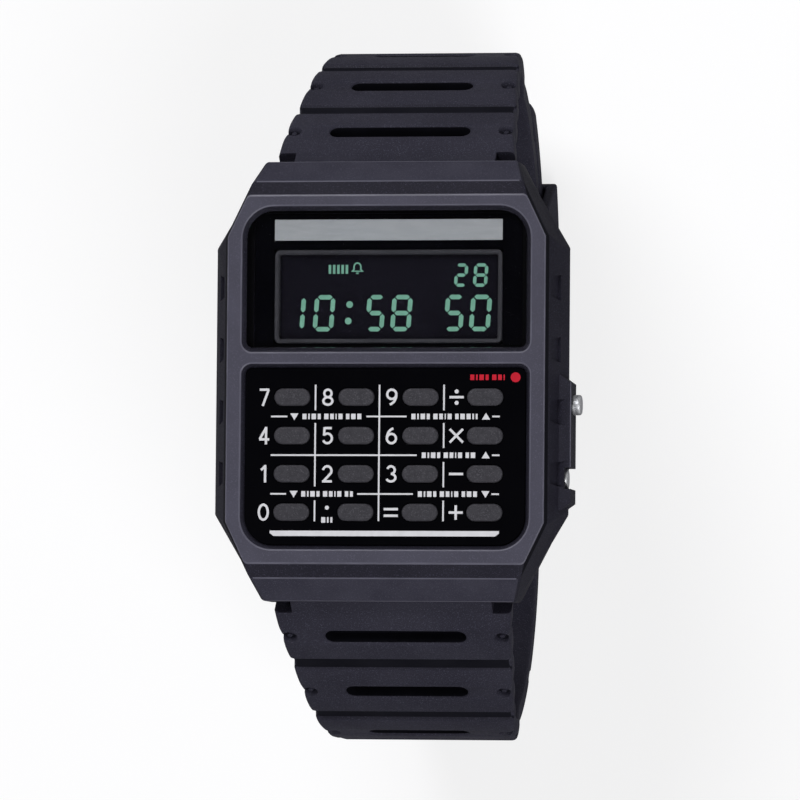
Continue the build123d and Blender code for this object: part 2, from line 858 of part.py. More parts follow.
front_legs = [(neck_run, 0), (front_arc_length, front_arc_turn), (slope_run, 0)]
front_end_y, front_end_z, _ = walk(front_legs, neck_run + front_arc_length + slope_run)
loop_centre_y = front_end_y - loop_radius * math.sin(math.radians(slope_angle))
loop_centre_z = front_end_z - loop_radius * math.cos(math.radians(slope_angle))
loop_turn = 180 - slope_angle
loop_leg = (loop_radius * math.radians(loop_turn), loop_turn)
loop_reach = loop_centre_y + loop_radius
back_level = loop_centre_z - loop_radius
pivot_y = loop_centre_y - pivot_inset
crossing_start = crossing_length + crossing_gap - pivot_y
layer_step = strap_thickness + layer_gap
crossing_turn = 2 * math.degrees(math.atan(layer_step / crossing_length))
crossing_radius = crossing_length / (2 * math.sin(math.radians(crossing_turn)))
crossing_leg = crossing_radius * math.radians(crossing_turn)
tail_radius = loop_radius + layer_step

short_legs = front_legs + [loop_leg, (loop_centre_y - pivot_y, 0)]
long_legs = front_legs + [
    loop_leg,
    (loop_centre_y - crossing_start, 0),
    (crossing_leg, -crossing_turn),
    (crossing_leg, crossing_turn),
    (loop_centre_y + crossing_start - crossing_length, 0),
    (tail_radius * math.radians(tail_turn), tail_turn),
]


def total(legs):
    return sum(length for length, _ in legs)


def band(legs):
    """Side view of a strap half: each leg of its outer line, and the same leg on the wrist side."""
    edges = []
    near = 0
    for length, turn in legs:
        far = near + length
        for depth in (0, strap_thickness):
            a, middle, b = (walk(legs, place, depth)[:2] for place in (near, (near + far) / 2, far))
            edges.append(ThreePointArc(a, middle, b) if turn else Line(a, b))
        near = far
    for place in (0, near):
        edges.append(Line(walk(legs, place)[:2], walk(legs, place, strap_thickness)[:2]))
    return make_face(edges)


def strap_width_limit():
    """Front view of the strap: wide at the shoulders, narrow at the back of the loop."""
    low = back_level - 2 * layer_step - overrun
    high = bar_level + neck_offset + overrun
    right = [
        (strap_shoulder_half, high), (strap_shoulder_half, hood_level),
        (strap_waist_half, strap_waist_level), (strap_back_half, strap_back_level),
        (strap_back_half, low),
    ]
    left = [(-x, z) for x, z in reversed(right)]
    outline = Plane.XZ * make_face(Polyline(*right, *left, close=True))
    return extrude(outline, loop_reach + overrun, both=True)


def strap_frame(legs, distance):
    """Local frame on the strap's outer face: X across, Y along it, Z outwards."""
    y, z, heading = walk(legs, distance)
    return Pos(0, y, z) * Rot(X=-heading)


def half_width_at(z):
    """Half the strap's width at a level, as the width limit has it."""
    if z > strap_waist_level:
        share = (hood_level - z) / (hood_level - strap_waist_level)
        return strap_shoulder_half + share * (strap_waist_half - strap_shoulder_half)
    if z > strap_back_level:
        share = (strap_waist_level - z) / (strap_waist_level - strap_back_level)
        return strap_waist_half + share * (strap_back_half - strap_waist_half)
    return strap_back_half


def strap_front(legs, body):
    """Neck, shoulders and the slotted and grooved rows that both halves share."""
    neck_half = lug_gap_half - neck_side_gap
    knuckle = rod(neck_offset, -neck_half, neck_half, bar_y, bar_level)
    shoulder_radius = math.hypot(case_half_length - bar_y, hood_level - bar_level) + shoulder_gap
    cuts = []
    for low, high in ((neck_half, strap_shoulder_half + overrun),
                      (-strap_shoulder_half - overrun, -neck_half)):
        cuts.append(rod(shoulder_radius, low, high, bar_y, bar_level))
    for row in range(slot_row_count):
        place = strap_frame(legs, slot_first + row * cell_pitch)
        cuts.append(place * extrude(SlotOverall(slot_lengths[row], slot_width), -slot_depth))
        _, z, _ = walk(legs, slot_first + row * cell_pitch)
        for side in (1, -1):
            eyelet = Pos(side * (half_width_at(z) - eyelet_inset), 0, -eyelet_depth / 2)
            cuts.append(place * eyelet * Cylinder(eyelet_radius, eyelet_depth))
    for row in range(groove_count):
        place = strap_frame(legs, groove_first + row * cell_pitch)
        cuts.append(place * Box(2 * strap_shoulder_half + overrun, groove_width, 2 * groove_depth))
    bore = rod(bar_radius + knuckle_bore_gap, -lug_gap_half, lug_gap_half, bar_y, bar_level)
    return body + knuckle - (cuts + [bore])


def strap_short():
    """Twelve o'clock half: slotted front, plain back, and the knuckle that carries the buckle."""
    body = across(band(short_legs), strap_shoulder_half)
    body &= strap_width_limit()
    body = strap_front(short_legs, body)
    pivot_z = back_level + strap_thickness / 2
    body += rod(strap_thickness / 2, -strap_back_half, strap_back_half, pivot_y, pivot_z)
    body -= rod(pivot_bar_radius + pivot_bore_gap, -strap_shoulder_half, strap_shoulder_half,
                pivot_y, pivot_z)
    notch = tongue_half_width + tongue_notch_gap
    return body - box(-notch, notch, pivot_y - strap_thickness - overrun,
                      pivot_y + tongue_notch_depth, back_level - overrun,
                      back_level + strap_thickness + overrun)


def strap_long():
    """Six o'clock half: slotted front, then the tail that runs through the buckle."""
    body = across(band(long_legs), strap_shoulder_half)
    body &= strap_width_limit()
    body = strap_front(long_legs, body)
    crossing_middle = crossing_start - crossing_length / 2
    body -= Pos(0, crossing_middle - tongue_hole_shift, back_level) * extrude(
        Rot(Z=90) * SlotOverall(tongue_hole_length, hole_width), 2 * layer_step, both=True)
    middle = total(front_legs) + loop_leg[0] + loop_centre_y - crossing_start + crossing_leg
    for step in hole_steps:
        hole = extrude(Rot(Z=90) * SlotOverall(hole_length, hole_width), strap_thickness,
                       both=True)
        distance = middle + tongue_hole_shift + step * hole_pitch
        body -= strap_frame(long_legs, distance) * hole
    end_y, end_z, heading = walk(long_legs, total(long_legs))
    tip = Pos(0, end_y, end_z) * Rot(X=-heading) * Box(
        2 * strap_shoulder_half, 2 * tail_tip_radius, 2 * layer_step)
    rounded = Pos(0, end_y, end_z) * Rot(X=-heading) * Pos(0, -tail_tip_radius, 0) * extrude(
        SlotOverall(2 * strap_back_half, 2 * tail_tip_radius), layer_step, both=True)
    body -= tip - rounded
    return mirror(body, Plane.XZ)


def buckle_tongue():
    """Flat prong from the pivot bar, through the strap, to the front bar."""
    pivot_z = back_level + strap_thickness / 2
    front_low = back_level - layer_gap - front_bar_thickness
    half = tongue_thickness / 2
    front_y = pivot_y - buckle_reach
    tip_y = front_y - tongue_overhang
    slope = (pivot_z - front_low + tongue_rest_gap + half) / buckle_reach
    tip_z = pivot_z - slope * (pivot_y - tip_y)
    outline = make_face(Polyline((pivot_y, pivot_z + half), (pivot_y, pivot_z - half),
                                 (tip_y, tip_z - half), (tip_y, tip_z + half), close=True))
    ring = Pos(pivot_y, pivot_z) * Circle(strap_thickness / 2)
    bore = Pos(pivot_y, pivot_z) * Circle(pivot_bar_radius + pivot_bore_gap)
    return across(outline + ring - bore, tongue_half_width)


def buckle_frame():
    """Moulded frame: two arms on the pivot bar and a bar across the front."""
    pivot_z = back_level + strap_thickness / 2
    front_y = pivot_y - buckle_reach
    front_high = back_level - layer_gap
    front_mid = front_high - front_bar_thickness / 2
    inner = strap_back_half + buckle_side_gap
    outer = inner + buckle_arm_width
    arm = SlotCenterToCenter(math.hypot(buckle_reach, pivot_z - front_mid), buckle_arm_height)
    tilt = math.degrees(math.atan2(pivot_z - front_mid, buckle_reach))
    arm = Pos((pivot_y + front_y) / 2, (pivot_z + front_mid) / 2) * Rot(Z=tilt) * arm
    frame = across(arm, outer) - across(arm, inner)
    frame += box(-outer + buckle_bar_inset, outer - buckle_bar_inset,
                 front_y - front_bar_length / 2, front_y + front_bar_length / 2,
                 front_high - front_bar_thickness, front_high)
    reach = outer - buckle_bar_inset
    return frame - rod(pivot_bar_radius, -reach, reach, pivot_y, pivot_z)


def buckle_bar():
    """Steel pin of the buckle."""
    reach = strap_back_half + buckle_side_gap + buckle_arm_width - buckle_bar_inset
    return rod(pivot_bar_radius, -reach, reach, pivot_y, back_level + strap_thickness / 2)


def sector(radius, start, end):
    """Wedge of a disc about the loop's centre, angles measured from straight down towards +Y."""
    far = radius * 2
    points = [(loop_centre_y, loop_centre_z)]
    for angle in (start, (start + end) / 2, end):
        steep = math.radians(angle)
        points.append((loop_centre_y + far * math.sin(steep), loop_centre_z - far * math.cos(steep)))
    disc = Pos(loop_centre_y, loop_centre_z) * Circle(radius)
    return disc & make_face(Polyline(*points, close=True))


def keeper():
    """Free loop round both layers of the strap."""
    end_angle = keeper_start_angle + math.degrees(keeper_length / loop_radius)
    inner = loop_radius - strap_thickness - keeper_gap
    outer = tail_radius + keeper_gap
    side = strap_back_half + keeper_gap
    angles = (keeper_start_angle, end_angle)
    shell = sector(outer + keeper_wall, *angles) - sector(inner - keeper_wall, *angles)
    room = sector(outer, *angles) - sector(inner, *angles)
    return across(shell, side + keeper_side_wall) - across(room, side)


pieces = {
    "case_body": case_body(),
    "crystal": crystal(),
    "display_mask": display_mask(),
    "strip_plate": strip_plate(),
    "display_frame": display_frame(),
    "display_cell": display_cell(),
    "display_reflector": display_reflector(),
    "contact_strips": contact_strips(),
    "module_frame": module_frame(),
    "circuit_board": circuit_board(),
    "processor": processor(),
    "quartz_can": quartz_can(),
    "coin_cell": coin_cell(),
    "cell_clamp": cell_clamp(),
    "cell_contact": cell_contact(),
    "insulator_sheet": insulator_sheet(),
    "buzzer_disc": buzzer_disc(),
    "buzzer_spring": buzzer_spring(),
    "keypad_panel": keypad_panel(),
    "keypad_membrane": keypad_membrane(),
    "case_back": case_back(),
    "back_gasket": gasket_ring(0),
    "case_back_screws": case_back_screws(),
    "mode_pusher": side_pusher(mode_pusher_y, mode_pusher_end, mode_head_length),
    "adjust_pusher": side_pusher(adjust_pusher_y, adjust_pusher_end, adjust_head_length),
    "mode_pusher_clip": pusher_clip(mode_pusher_y),
    "adjust_pusher_clip": pusher_clip(adjust_pusher_y),
    "mode_pusher_spring": pusher_spring(mode_pusher_y, mode_pusher_end - mode_head_length),
    "adjust_pusher_spring": pusher_spring(adjust_pusher_y, adjust_pusher_end - adjust_head_length),
    "pusher_seals": pusher_seals(),
    "switch_contacts": switch_contacts(),
    "bar_tube_12": bar_tube(bar_y),
    "bar_tube_6": bar_tube(-bar_y),
    "bar_tip_12_left": bar_tip(bar_y, -1),
    "bar_tip_12_right": bar_tip(bar_y, 1),
    "bar_tip_6_left": bar_tip(-bar_y, -1),
    "bar_tip_6_right": bar_tip(-bar_y, 1),
    "bar_springs": bar_springs(),
    "strap_short": strap_short(),
    "strap_long": strap_long(),
    "buckle_frame": buckle_frame(),
    "buckle_bar": buckle_bar(),
    "buckle_tongue": buckle_tongue(),
    "keeper": keeper(),
}
for key_name, key_x, key_y in key_cells():
    pieces[key_name] = calculator_key(key_x, key_y)

os.makedirs("parts", exist_ok=True)
for node, shape in pieces.items():
    export_step(shape, f"parts/{node}.step")
print("loop radius", round(loop_radius, 2), "centre", round(loop_centre_y, 2), round(loop_centre_z, 2),
      "back", round(back_level, 2), "short", round(total(short_legs), 1), "long",
      round(total(long_legs), 1))
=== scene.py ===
import math

import bmesh
import bpy
from mathutils import Matrix, Vector


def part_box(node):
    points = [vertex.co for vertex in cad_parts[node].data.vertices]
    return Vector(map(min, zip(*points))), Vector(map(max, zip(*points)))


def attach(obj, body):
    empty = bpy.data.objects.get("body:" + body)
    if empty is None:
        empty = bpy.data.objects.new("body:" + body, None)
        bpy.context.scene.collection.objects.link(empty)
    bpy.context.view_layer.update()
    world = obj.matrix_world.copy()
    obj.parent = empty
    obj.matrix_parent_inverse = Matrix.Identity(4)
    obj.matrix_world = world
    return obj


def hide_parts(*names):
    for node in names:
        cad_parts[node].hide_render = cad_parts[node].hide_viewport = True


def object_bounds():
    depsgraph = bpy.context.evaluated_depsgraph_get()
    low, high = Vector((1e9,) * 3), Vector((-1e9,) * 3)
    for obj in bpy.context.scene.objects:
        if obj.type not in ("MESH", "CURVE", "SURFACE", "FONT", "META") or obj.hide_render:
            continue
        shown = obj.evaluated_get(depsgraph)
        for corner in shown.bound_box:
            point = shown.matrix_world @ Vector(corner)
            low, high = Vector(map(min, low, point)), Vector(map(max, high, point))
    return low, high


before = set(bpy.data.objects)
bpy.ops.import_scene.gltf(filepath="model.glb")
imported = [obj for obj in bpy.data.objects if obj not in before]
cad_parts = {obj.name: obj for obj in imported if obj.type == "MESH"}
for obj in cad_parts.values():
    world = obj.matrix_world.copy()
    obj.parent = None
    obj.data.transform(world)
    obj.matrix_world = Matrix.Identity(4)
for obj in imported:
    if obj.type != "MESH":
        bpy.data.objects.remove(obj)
cad_box = [list(corner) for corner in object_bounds()]

# Case. One moulded shell of black resin with a fine spark-eroded grain: flat face with two
# windows, hoods over the strap ends, facets with shallow notches down both sides and a guard
# round the pushers. The mould leaves a small radius on the face's rim and the long outer edges.
mm = 0.001
drift_range, gloss_range = (0.35, 0.65), (0.3, 0.7)
speck_size, speck_range = 0.11, (0.56, 0.72)
crease_angle, flat_angle = math.radians(20), math.radians(0.4)
merge_distance = 0.001


def tint(red, green, blue):
    """Colour as a screen shows it, 0 to 255, as the linear value that a shader takes."""
    shares = [value / 255 for value in (red, green, blue)]
    return [s / 12.92 if s <= 0.04045 else ((s + 0.055) / 1.055) ** 2.4 for s in shares] + [1.0]


def node(tree, kind, fields=None, **inputs):
    """Adds a shader node, sets its fields and fills or wires its inputs."""
    made = tree.nodes.new("ShaderNode" + kind)
    for field, value in (fields or {}).items():
        setattr(made, field, value)
    for name, value in inputs.items():
        socket = made.inputs[name.replace("_", " ")]
        if isinstance(value, bpy.types.NodeSocket):
            tree.links.new(value, socket)
        else:
            socket.default_value = value
    return made


def blend_colours(tree, share, first, second):
    """Mixes two colours, each a value or a wire, by a wired share."""
    made = node(tree, "Mix", {"data_type": "RGBA"})
    tree.links.new(share, made.inputs[0])
    for number, value in ((6, first), (7, second)):
        if isinstance(value, bpy.types.NodeSocket):
            tree.links.new(value, made.inputs[number])
        else:
            made.inputs[number].default_value = value
    return made.outputs[2]


def grained(name, colour, shade, patch, grain, height, rough, strength=0.5, stretch=(1, 1, 1),
            speck=None, **constants):
    """Finish whose colour and gloss drift over `patch` and whose surface has bumps of `grain`.
    Lengths are millimetres. `stretch` squeezes the pattern along an axis, as brushing does, and
    `speck` is the colour of the fine bright points that a sparked mould leaves."""
    material = bpy.data.materials.new(name)
    material.use_nodes = True
    tree = material.node_tree
    surface = tree.nodes["Principled BSDF"]
    where = node(tree, "TexCoord").outputs["Object"]
    where = node(tree, "Mapping", Vector=where, Scale=stretch).outputs["Vector"]
    drift = node(tree, "TexNoise", Vector=where, Scale=1 / (patch * mm), Detail=3.0)
    bumps = node(tree, "TexNoise", Vector=where, Scale=1 / (grain * mm), Detail=2.0)
    bumps = bumps.outputs["Fac"]
    drift = node(tree, "MapRange", Value=drift.outputs["Fac"], From_Min=drift_range[0],
                 From_Max=drift_range[1])
    base = blend_colours(tree, drift.outputs["Result"], tint(*colour), tint(*shade))
    if speck:
        dots = node(tree, "TexNoise", Vector=where, Scale=1 / (speck_size * mm))
        dots = node(tree, "MapRange", Value=dots.outputs["Fac"], From_Min=speck_range[0],
                    From_Max=speck_range[1])
        base = blend_colours(tree, dots.outputs["Result"], base, tint(*speck))
    tree.links.new(base, surface.inputs["Base Color"])
    gloss = node(tree, "MapRange", Value=bumps, From_Min=gloss_range[0], From_Max=gloss_range[1],
                 To_Min=rough[0], To_Max=rough[1])
    tree.links.new(gloss.outputs["Result"], surface.inputs["Roughness"])
    relief = node(tree, "Bump", Height=bumps, Strength=strength, Distance=height * mm)
    tree.links.new(relief.outputs["Normal"], surface.inputs["Normal"])
    for socket, value in constants.items():
        surface.inputs[socket.replace("_", " ")].default_value = value
    return material


def coat(thing, *materials):
    """Gives a piece or a CAD node its materials, of which faces take the first."""
    thing.data.materials.clear()
    for material in materials:
        thing.data.materials.append(material)
    return thing


def dress(material, *nodes):
    """Gives a material to CAD nodes that show as they are."""
    for name in nodes:
        coat(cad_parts[name], material)


def smooth(thing, angle):
    """Shades a piece smooth, with its edges crisp where faces turn by more than an angle."""
    thing.data.shade_smooth()
    thing.data.set_sharp_from_angle(angle=angle)
    return thing


def softened(name, source, radius):
    """New piece in the shape of a CAD node, with its flat faces whole and its edges rounded."""
    made = bpy.data.objects.new(name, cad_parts[source].data.copy())
    bpy.context.scene.collection.objects.link(made)
    work = bmesh.new()
    work.from_mesh(made.data)
    bmesh.ops.remove_doubles(work, verts=work.verts, dist=merge_distance * mm)
    bmesh.ops.dissolve_limit(work, angle_limit=flat_angle, verts=work.verts, edges=work.edges)
    bmesh.ops.recalc_face_normals(work, faces=work.faces)
    work.to_mesh(made.data)
    work.free()
    edges = made.modifiers.new("rounded edges", "BEVEL")
    edges.width = radius * mm
    edges.segments = 3
    edges.limit_method = "ANGLE"
    edges.angle_limit = crease_angle
    edges.harden_normals = True
    return smooth(made, crease_angle)


def place(piece, body, slot, *stands_for):
    """Fixes a piece to its body and hides the CAD nodes it stands for; `slot` is not used."""
    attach(piece, body)
    if stands_for:
        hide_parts(*stands_for)


case_resin = grained("case resin", (33, 32, 42), (39, 38, 48), 9.0, 0.16, 0.02, (0.5, 0.64),
                     strength=0.45, speck=(60, 59, 75), IOR=1.2)
# Painted sheen: the top face is a lighter copy of the case resin, standing in for the soft
# lamps' sheen on faces that look up.
face_painted_sheen = grained("case face painted sheen", (70, 69, 82), (76, 75, 89), 6.0, 0.12, 0.012,
                     (0.5, 0.62), strength=0.4, speck=(86, 85, 101), IOR=1.25)
# Painted highlight: the rounded edges are far lighter than the resin, standing in for the thin
# lines of light along them.
edge_painted_highlight = grained("case edges painted highlight", (96, 95, 110), (84, 83, 97), 4.0, 0.12, 0.008,
                     (0.36, 0.46), strength=0.3, IOR=1.4)
# Painted light: the hoods' sloping faces are a lighter copy of the case resin, as if lit by the
# lamps above and below.
hood_painted_light = grained("case hoods painted light", (55, 54, 67), (63, 62, 75), 5.0, 0.18, 0.025, (0.5, 0.64),
                     strength=0.5, speck=(80, 79, 95), IOR=1.22)
# Painted shade: the level seats down inside the windows are near black, standing in for the
# shade in those recesses.
seat_painted_shade = grained("window seats painted shade", (4, 4, 7), (6, 6, 9), 4.0, 0.2, 0.004, (0.5, 0.6), IOR=1.1)
# Painted shade: the narrow facets of the step round the face are darker than the resin, standing
# in for the shade on that wall.
step_painted_shade = grained("painted shade on step round the face", (15, 15, 22), (19, 19, 26), 4.0, 0.15, 0.01,
                     (0.5, 0.6), IOR=1.15)
case_edge_radius = 0.09
face_level, step_low, hood_top = 8.1, 7.7, 7.0
seat_low, seat_high = 5.9, 7.2
level_normal, step_normals = 0.999, (0.3, 0.6)
hood_normal_y, hood_normal_z = 0.7, 0.5
outer_x, outer_y, outer_z = 15.0, 17.9, 3.6
long_edge, large_face = 1.5, 4.0
case = coat(softened("case_shell", "case_body", case_edge_radius), case_resin, face_painted_sheen,
            edge_painted_highlight, hood_painted_light, seat_painted_shade, step_painted_shade)
sheen_face_number, highlight_edge_number, lit_hood_number, shaded_seat_number, shaded_step_number = range(1, 6)
for polygon in case.data.polygons:
    normal, level = polygon.normal, polygon.center.z
    # Faces on top that look straight up take the painted sheen.
    if normal.z > level_normal and level > face_level * mm:
        polygon.material_index = sheen_face_number
    # Sloping faces of the hoods, turned towards plus or minus Y, take the painted light.
    elif abs(normal.y) > hood_normal_y and normal.z > hood_normal_z and level < hood_top * mm:
        polygon.material_index = lit_hood_number
    # Level faces down in the windows take the painted shade.
    elif normal.z > level_normal and seat_low * mm < level < seat_high * mm:
        polygon.material_index = shaded_seat_number
    # The step's narrow facets round the face take the painted shade.
    elif (step_normals[0] < normal.z < step_normals[1]
          and step_low * mm < level < face_level * mm):
        polygon.material_index = shaded_step_number
work = bmesh.new()
work.from_mesh(case.data)
weight = work.edges.layers.float.new("bevel_weight_edge")
for edge in work.edges:
    if len(edge.link_faces) != 2 or not edge.is_convex or edge.calc_face_angle() < crease_angle:
        continue
    on_rim = any(face.normal.z > level_normal and face.calc_center_median().z > face_level * mm
                 for face in edge.link_faces)
    outside = all((abs(end.co.x) > outer_x * mm or abs(end.co.y) > outer_y * mm)
                  and end.co.z > outer_z * mm for end in edge.verts)
    large = edge.calc_length() > long_edge * mm and min(
        face.calc_area() for face in edge.link_faces) > large_face * mm * mm
    edge[weight] = float(on_rim or outside and large)
work.to_mesh(case.data)
work.free()
case.data.set_sharp_from_angle(angle=crease_angle)
edges = case.modifiers["rounded edges"]
edges.limit_method = "WEIGHT"
edges.use_clamp_overlap = False
# The bevel's rounded faces take the painted highlight.
edges.material = highlight_edge_number
place(case, "case", "case_resin", "case_body")

# Back plate. Stamped stainless steel, brushed along its length, held by four slotted screws on
# a flat rubber gasket.
brushed_steel = grained("brushed back plate", (176, 178, 180), (160, 162, 166), 6.0, 0.25, 0.004,
                        (0.28, 0.42), stretch=(1, 0.04, 1), Metallic=1.0)
screw_steel = grained("screw steel", (168, 168, 170), (150, 150, 152), 1.5, 0.2, 0.003,
                      (0.25, 0.35), Metallic=1.0)
black_rubber = grained("black rubber", (24, 24, 25), (30, 30, 31), 3.0, 0.2, 0.01, (0.6, 0.75))
dress(brushed_steel, "case_back")
dress(screw_steel, "case_back_screws")
dress(black_rubber, "back_gasket", "pusher_seals")

# Module. Grey plastic ring that holds the green board and the parts soldered or clipped to it:
# chip, quartz can, cell with its clamp, sounder and switch leaves. The keypad's rubber membrane
# and the display's light block and striped connectors lie on top of it.
module_plastic = grained("module plastic", (58, 60, 64), (66, 68, 72), 5.0, 0.2, 0.008,
                         (0.45, 0.6))
board_green = grained("board lacquer", (22, 74, 48), (14, 58, 38), 1.1, 0.35, 0.02, (0.25, 0.4),
                      Coat_Weight=0.4)
chip_black = grained("potting resin", (16, 16, 17), (24, 24, 26), 1.2, 0.3, 0.02, (0.2, 0.35))
nickel = grained("nickel plate", (186, 184, 176), (170, 168, 162), 3.0, 0.15, 0.003,
                 (0.2, 0.32), Metallic=1.0)
spring_steel = grained("spring steel", (150, 150, 153), (130, 130, 134), 1.0, 0.1, 0.003,
                       (0.25, 0.4), Metallic=1.0)
brass = grained("sounder brass", (196, 164, 92), (178, 146, 78), 2.5, 0.2, 0.004, (0.25, 0.4),
                Metallic=1.0)
gold = grained("gold plate", (214, 178, 104), (200, 160, 86), 1.2, 0.12, 0.003, (0.2, 0.3),
               Metallic=1.0)
clear_film = grained("insulating film", (206, 196, 150), (196, 184, 136), 4.0, 0.4, 0.006,
                     (0.2, 0.3), Alpha=0.75)
grey_rubber = grained("keypad rubber", (112, 114, 116), (102, 104, 106), 3.0, 0.2, 0.01,
                      (0.55, 0.7))
white_block = grained("light block", (212, 214, 208), (202, 204, 198), 5.0, 0.3, 0.006,
                      (0.4, 0.5))
zebra_rubber = grained("striped connector", (188, 120, 116), (40, 34, 34), 0.3, 0.1, 0.004,
                       (0.5, 0.6), stretch=(1, 0.02, 0.02))
dress(module_plastic, "module_frame")
dress(board_green, "circuit_board")
dress(chip_black, "processor")
dress(nickel, "coin_cell", "quartz_can", "cell_clamp")
dress(gold, "cell_contact", "switch_contacts")
dress(brass, "buzzer_disc")
dress(spring_steel, "buzzer_spring", "mode_pusher_spring", "adjust_pusher_spring",
      "bar_springs", "mode_pusher_clip", "adjust_pusher_clip")
dress(clear_film, "insulator_sheet")
dress(grey_rubber, "keypad_membrane")
dress(white_block, "display_reflector")
dress(zebra_rubber, "contact_strips")

# Display. A dark liquid crystal cell with pale green figures, framed by a grey rim and a black
# mask, under a flat mineral window. A thin silver plate lies on the mask above it.
cell_black = grained("liquid crystal", (16, 15, 22), (19, 18, 25), 7.0, 0.5, 0.001, (0.06, 0.1),
                     strength=0.1, IOR=1.3)
figure_green = grained("figures", (110, 160, 141), (104, 152, 134), 1.0, 0.12, 0.001,
                       (0.45, 0.55), IOR=1.1)
rim_grey = grained("display rim", (56, 56, 61), (50, 50, 55), 3.0, 0.12, 0.004, (0.5, 0.6),
                   IOR=1.15)
mask_black = grained("mask lacquer", (2, 2, 5), (4, 4, 7), 6.0, 0.2, 0.001, (0.08, 0.12),
                     strength=0.1, IOR=1.2)
silver_paint = grained("silver plate", (142, 145, 149), (137, 140, 144), 0.3, 0.1, 0.004,
                       (0.5, 0.6), stretch=(0.15, 1, 1), IOR=1.15)
window_glass = grained("window glass", (252, 252, 252), (250, 251, 252), 8.0, 2.0, 0.0002,
                       (0.01, 0.03), strength=0.05, Transmission_Weight=1.0, IOR=1.28)
dress(cell_black, "display_cell")
dress(mask_black, "display_mask")
dress(silver_paint, "strip_plate")
tree = window_glass.node_tree
clear = node(tree, "MixShader", Fac=node(tree, "LightPath").outputs["Is Shadow Ray"])
tree.links.new(tree.nodes["Principled BSDF"].outputs["BSDF"], clear.inputs[1])
tree.links.new(node(tree, "BsdfTransparent").outputs["BSDF"], clear.inputs[2])
tree.links.new(clear.outputs["Shader"], tree.nodes["Material Output"].inputs["Surface"])
dress(window_glass, "crystal")


def box_in_mm(name):
    """Lowest and highest corner of a CAD node, in millimetres."""
    return [[value / mm for value in corner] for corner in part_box(name)]


(_, rim_low, rim_foot), (rim_half_width, rim_high, rim_top) = box_in_mm("display_frame")
rim_centre_y, rim_half_height = (rim_low + rim_high) / 2, (rim_high - rim_low) / 2
# Each row: how far in from the rim's outline, the level and the radius of the corners there.
rim_section = ((0.0, rim_foot, 0.6), (0.0, rim_top - 0.12, 0.6), (0.06, rim_top - 0.02, 0.54),
               (0.2, rim_top, 0.42), (0.34, rim_top - 0.04, 0.3), (0.45, rim_top - 0.17, 0.2),
               (0.45, rim_foot, 0.2))
turned_crease = math.radians(35)


def round_corners(half_x, half_y, radius, sides=8):
    """Outline of a rectangle with round corners."""
    points = []
    for corner, (x, y) in enumerate(((1, 1), (-1, 1), (-1, -1), (1, -1))):
        for i in range(sides + 1):
            angle = math.radians(90 * (corner + i / sides))
            points.append((x * (half_x - radius) + radius * math.cos(angle),
                           y * (half_y - radius) + radius * math.sin(angle)))
    return points


def join_rings(work, rings):
    """Faces between neighbouring rings of as many points each."""
    for first, second in zip(rings, rings[1:]):
        for i in range(len(first)):
            work.faces.new((first[i - 1], first[i], second[i], second[i - 1]))


def to_piece(work, name, scale=mm):
    """Makes an object of a mesh, drawn in millimetres unless told otherwise, and frees it."""
    bmesh.ops.recalc_face_normals(work, faces=work.faces)
    bmesh.ops.scale(work, verts=work.verts, vec=(scale, scale, scale))
    mesh = bpy.data.meshes.new(name)
    work.to_mesh(mesh)
    work.free()
    made = bpy.data.objects.new(name, mesh)
    bpy.context.scene.collection.objects.link(made)
    return made


work = bmesh.new()
rings = [[work.verts.new((x, y + rim_centre_y, level)) for x, y in
          round_corners(rim_half_width - inset, rim_half_height - inset, radius)]
         for inset, level, radius in rim_section]
join_rings(work, rings + rings[:1])
rim = smooth(coat(to_piece(work, "display_rim"), rim_grey), turned_crease)
place(rim, "case", "frame_grey", "display_frame")

figure_level = box_in_mm("display_cell")[1][2]
figure_thickness = 0.03
figure_slant = math.tan(math.radians(4.0))
segments_lit = {"0": "abcdef", "1": "bc", "2": "abged", "5": "afgcd", "8": "abcdefg"}
time_low, time_height, time_bar_half, time_gap = 4.8, 3.57, 0.22, 0.08
time_figures = (("1", -10.52, 2.04), ("0", -7.61, 2.04), ("5", -2.4, 1.82), ("8", 0.06, 2.02),
                ("5", 5.34, 1.88), ("0", 7.84, 2.06))
date_low, date_height, date_bar_half, date_gap = 9.14, 2.29, 0.16, 0.05
date_figures = (("2", 6.34, 1.28), ("8", 8.2, 1.4))
colon_dots, colon_radius = ((-3.94, 7.43), (-4.07, 5.82)), 0.33
row_left, row_low, row_high = -6.05, 10.45, 11.32
row_bars, row_pitch, row_bar_width = 5, 0.42, 0.25
bell_x, bell_y, bell_line_half = -3.2, 11.0, 0.07
bell_brim = ((0.5, -0.3), (0.34, -0.14))
bell_dome_rise, bell_dome_half, bell_dome_height = 0.1, 0.34, 0.4
clapper_half, clapper_low, clapper_high = 0.12, -0.58, -0.42


def bar_between(work, start, end, half, gap):
    """One bar of a figure: a strip with pointed ends, cut back so that bars don't touch."""
    along = (end - start).normalized()
    side = Vector((-along.y, along.x))
    first, last = start + along * gap, end - along * gap
    outline = [first, first + (along + side) * half, last - (along - side) * half, last,
               last - (along + side) * half, first + (along - side) * half]
    work.faces.new([work.verts.new((p.x, p.y, 0)) for p in outline])


def figure(work, digit, left, low, width, height, half, gap):
    """One seven-bar figure, leaning to the right."""
    x0, x1 = left + half, left + width - half
    y0, y1, y2 = low + half, low + height / 2, low + height - half
    corners = {"a": ((x0, y2), (x1, y2)), "b": ((x1, y1), (x1, y2)), "c": ((x1, y0), (x1, y1)),
               "d": ((x0, y0), (x1, y0)), "e": ((x0, y0), (x0, y1)), "f": ((x0, y1), (x0, y2)),
               "g": ((x0, y1), (x1, y1))}
    for bar in segments_lit[digit]:
        ends = [Vector((x + (y - low) * figure_slant, y)) for x, y in corners[bar]]
        bar_between(work, *ends, half, gap)


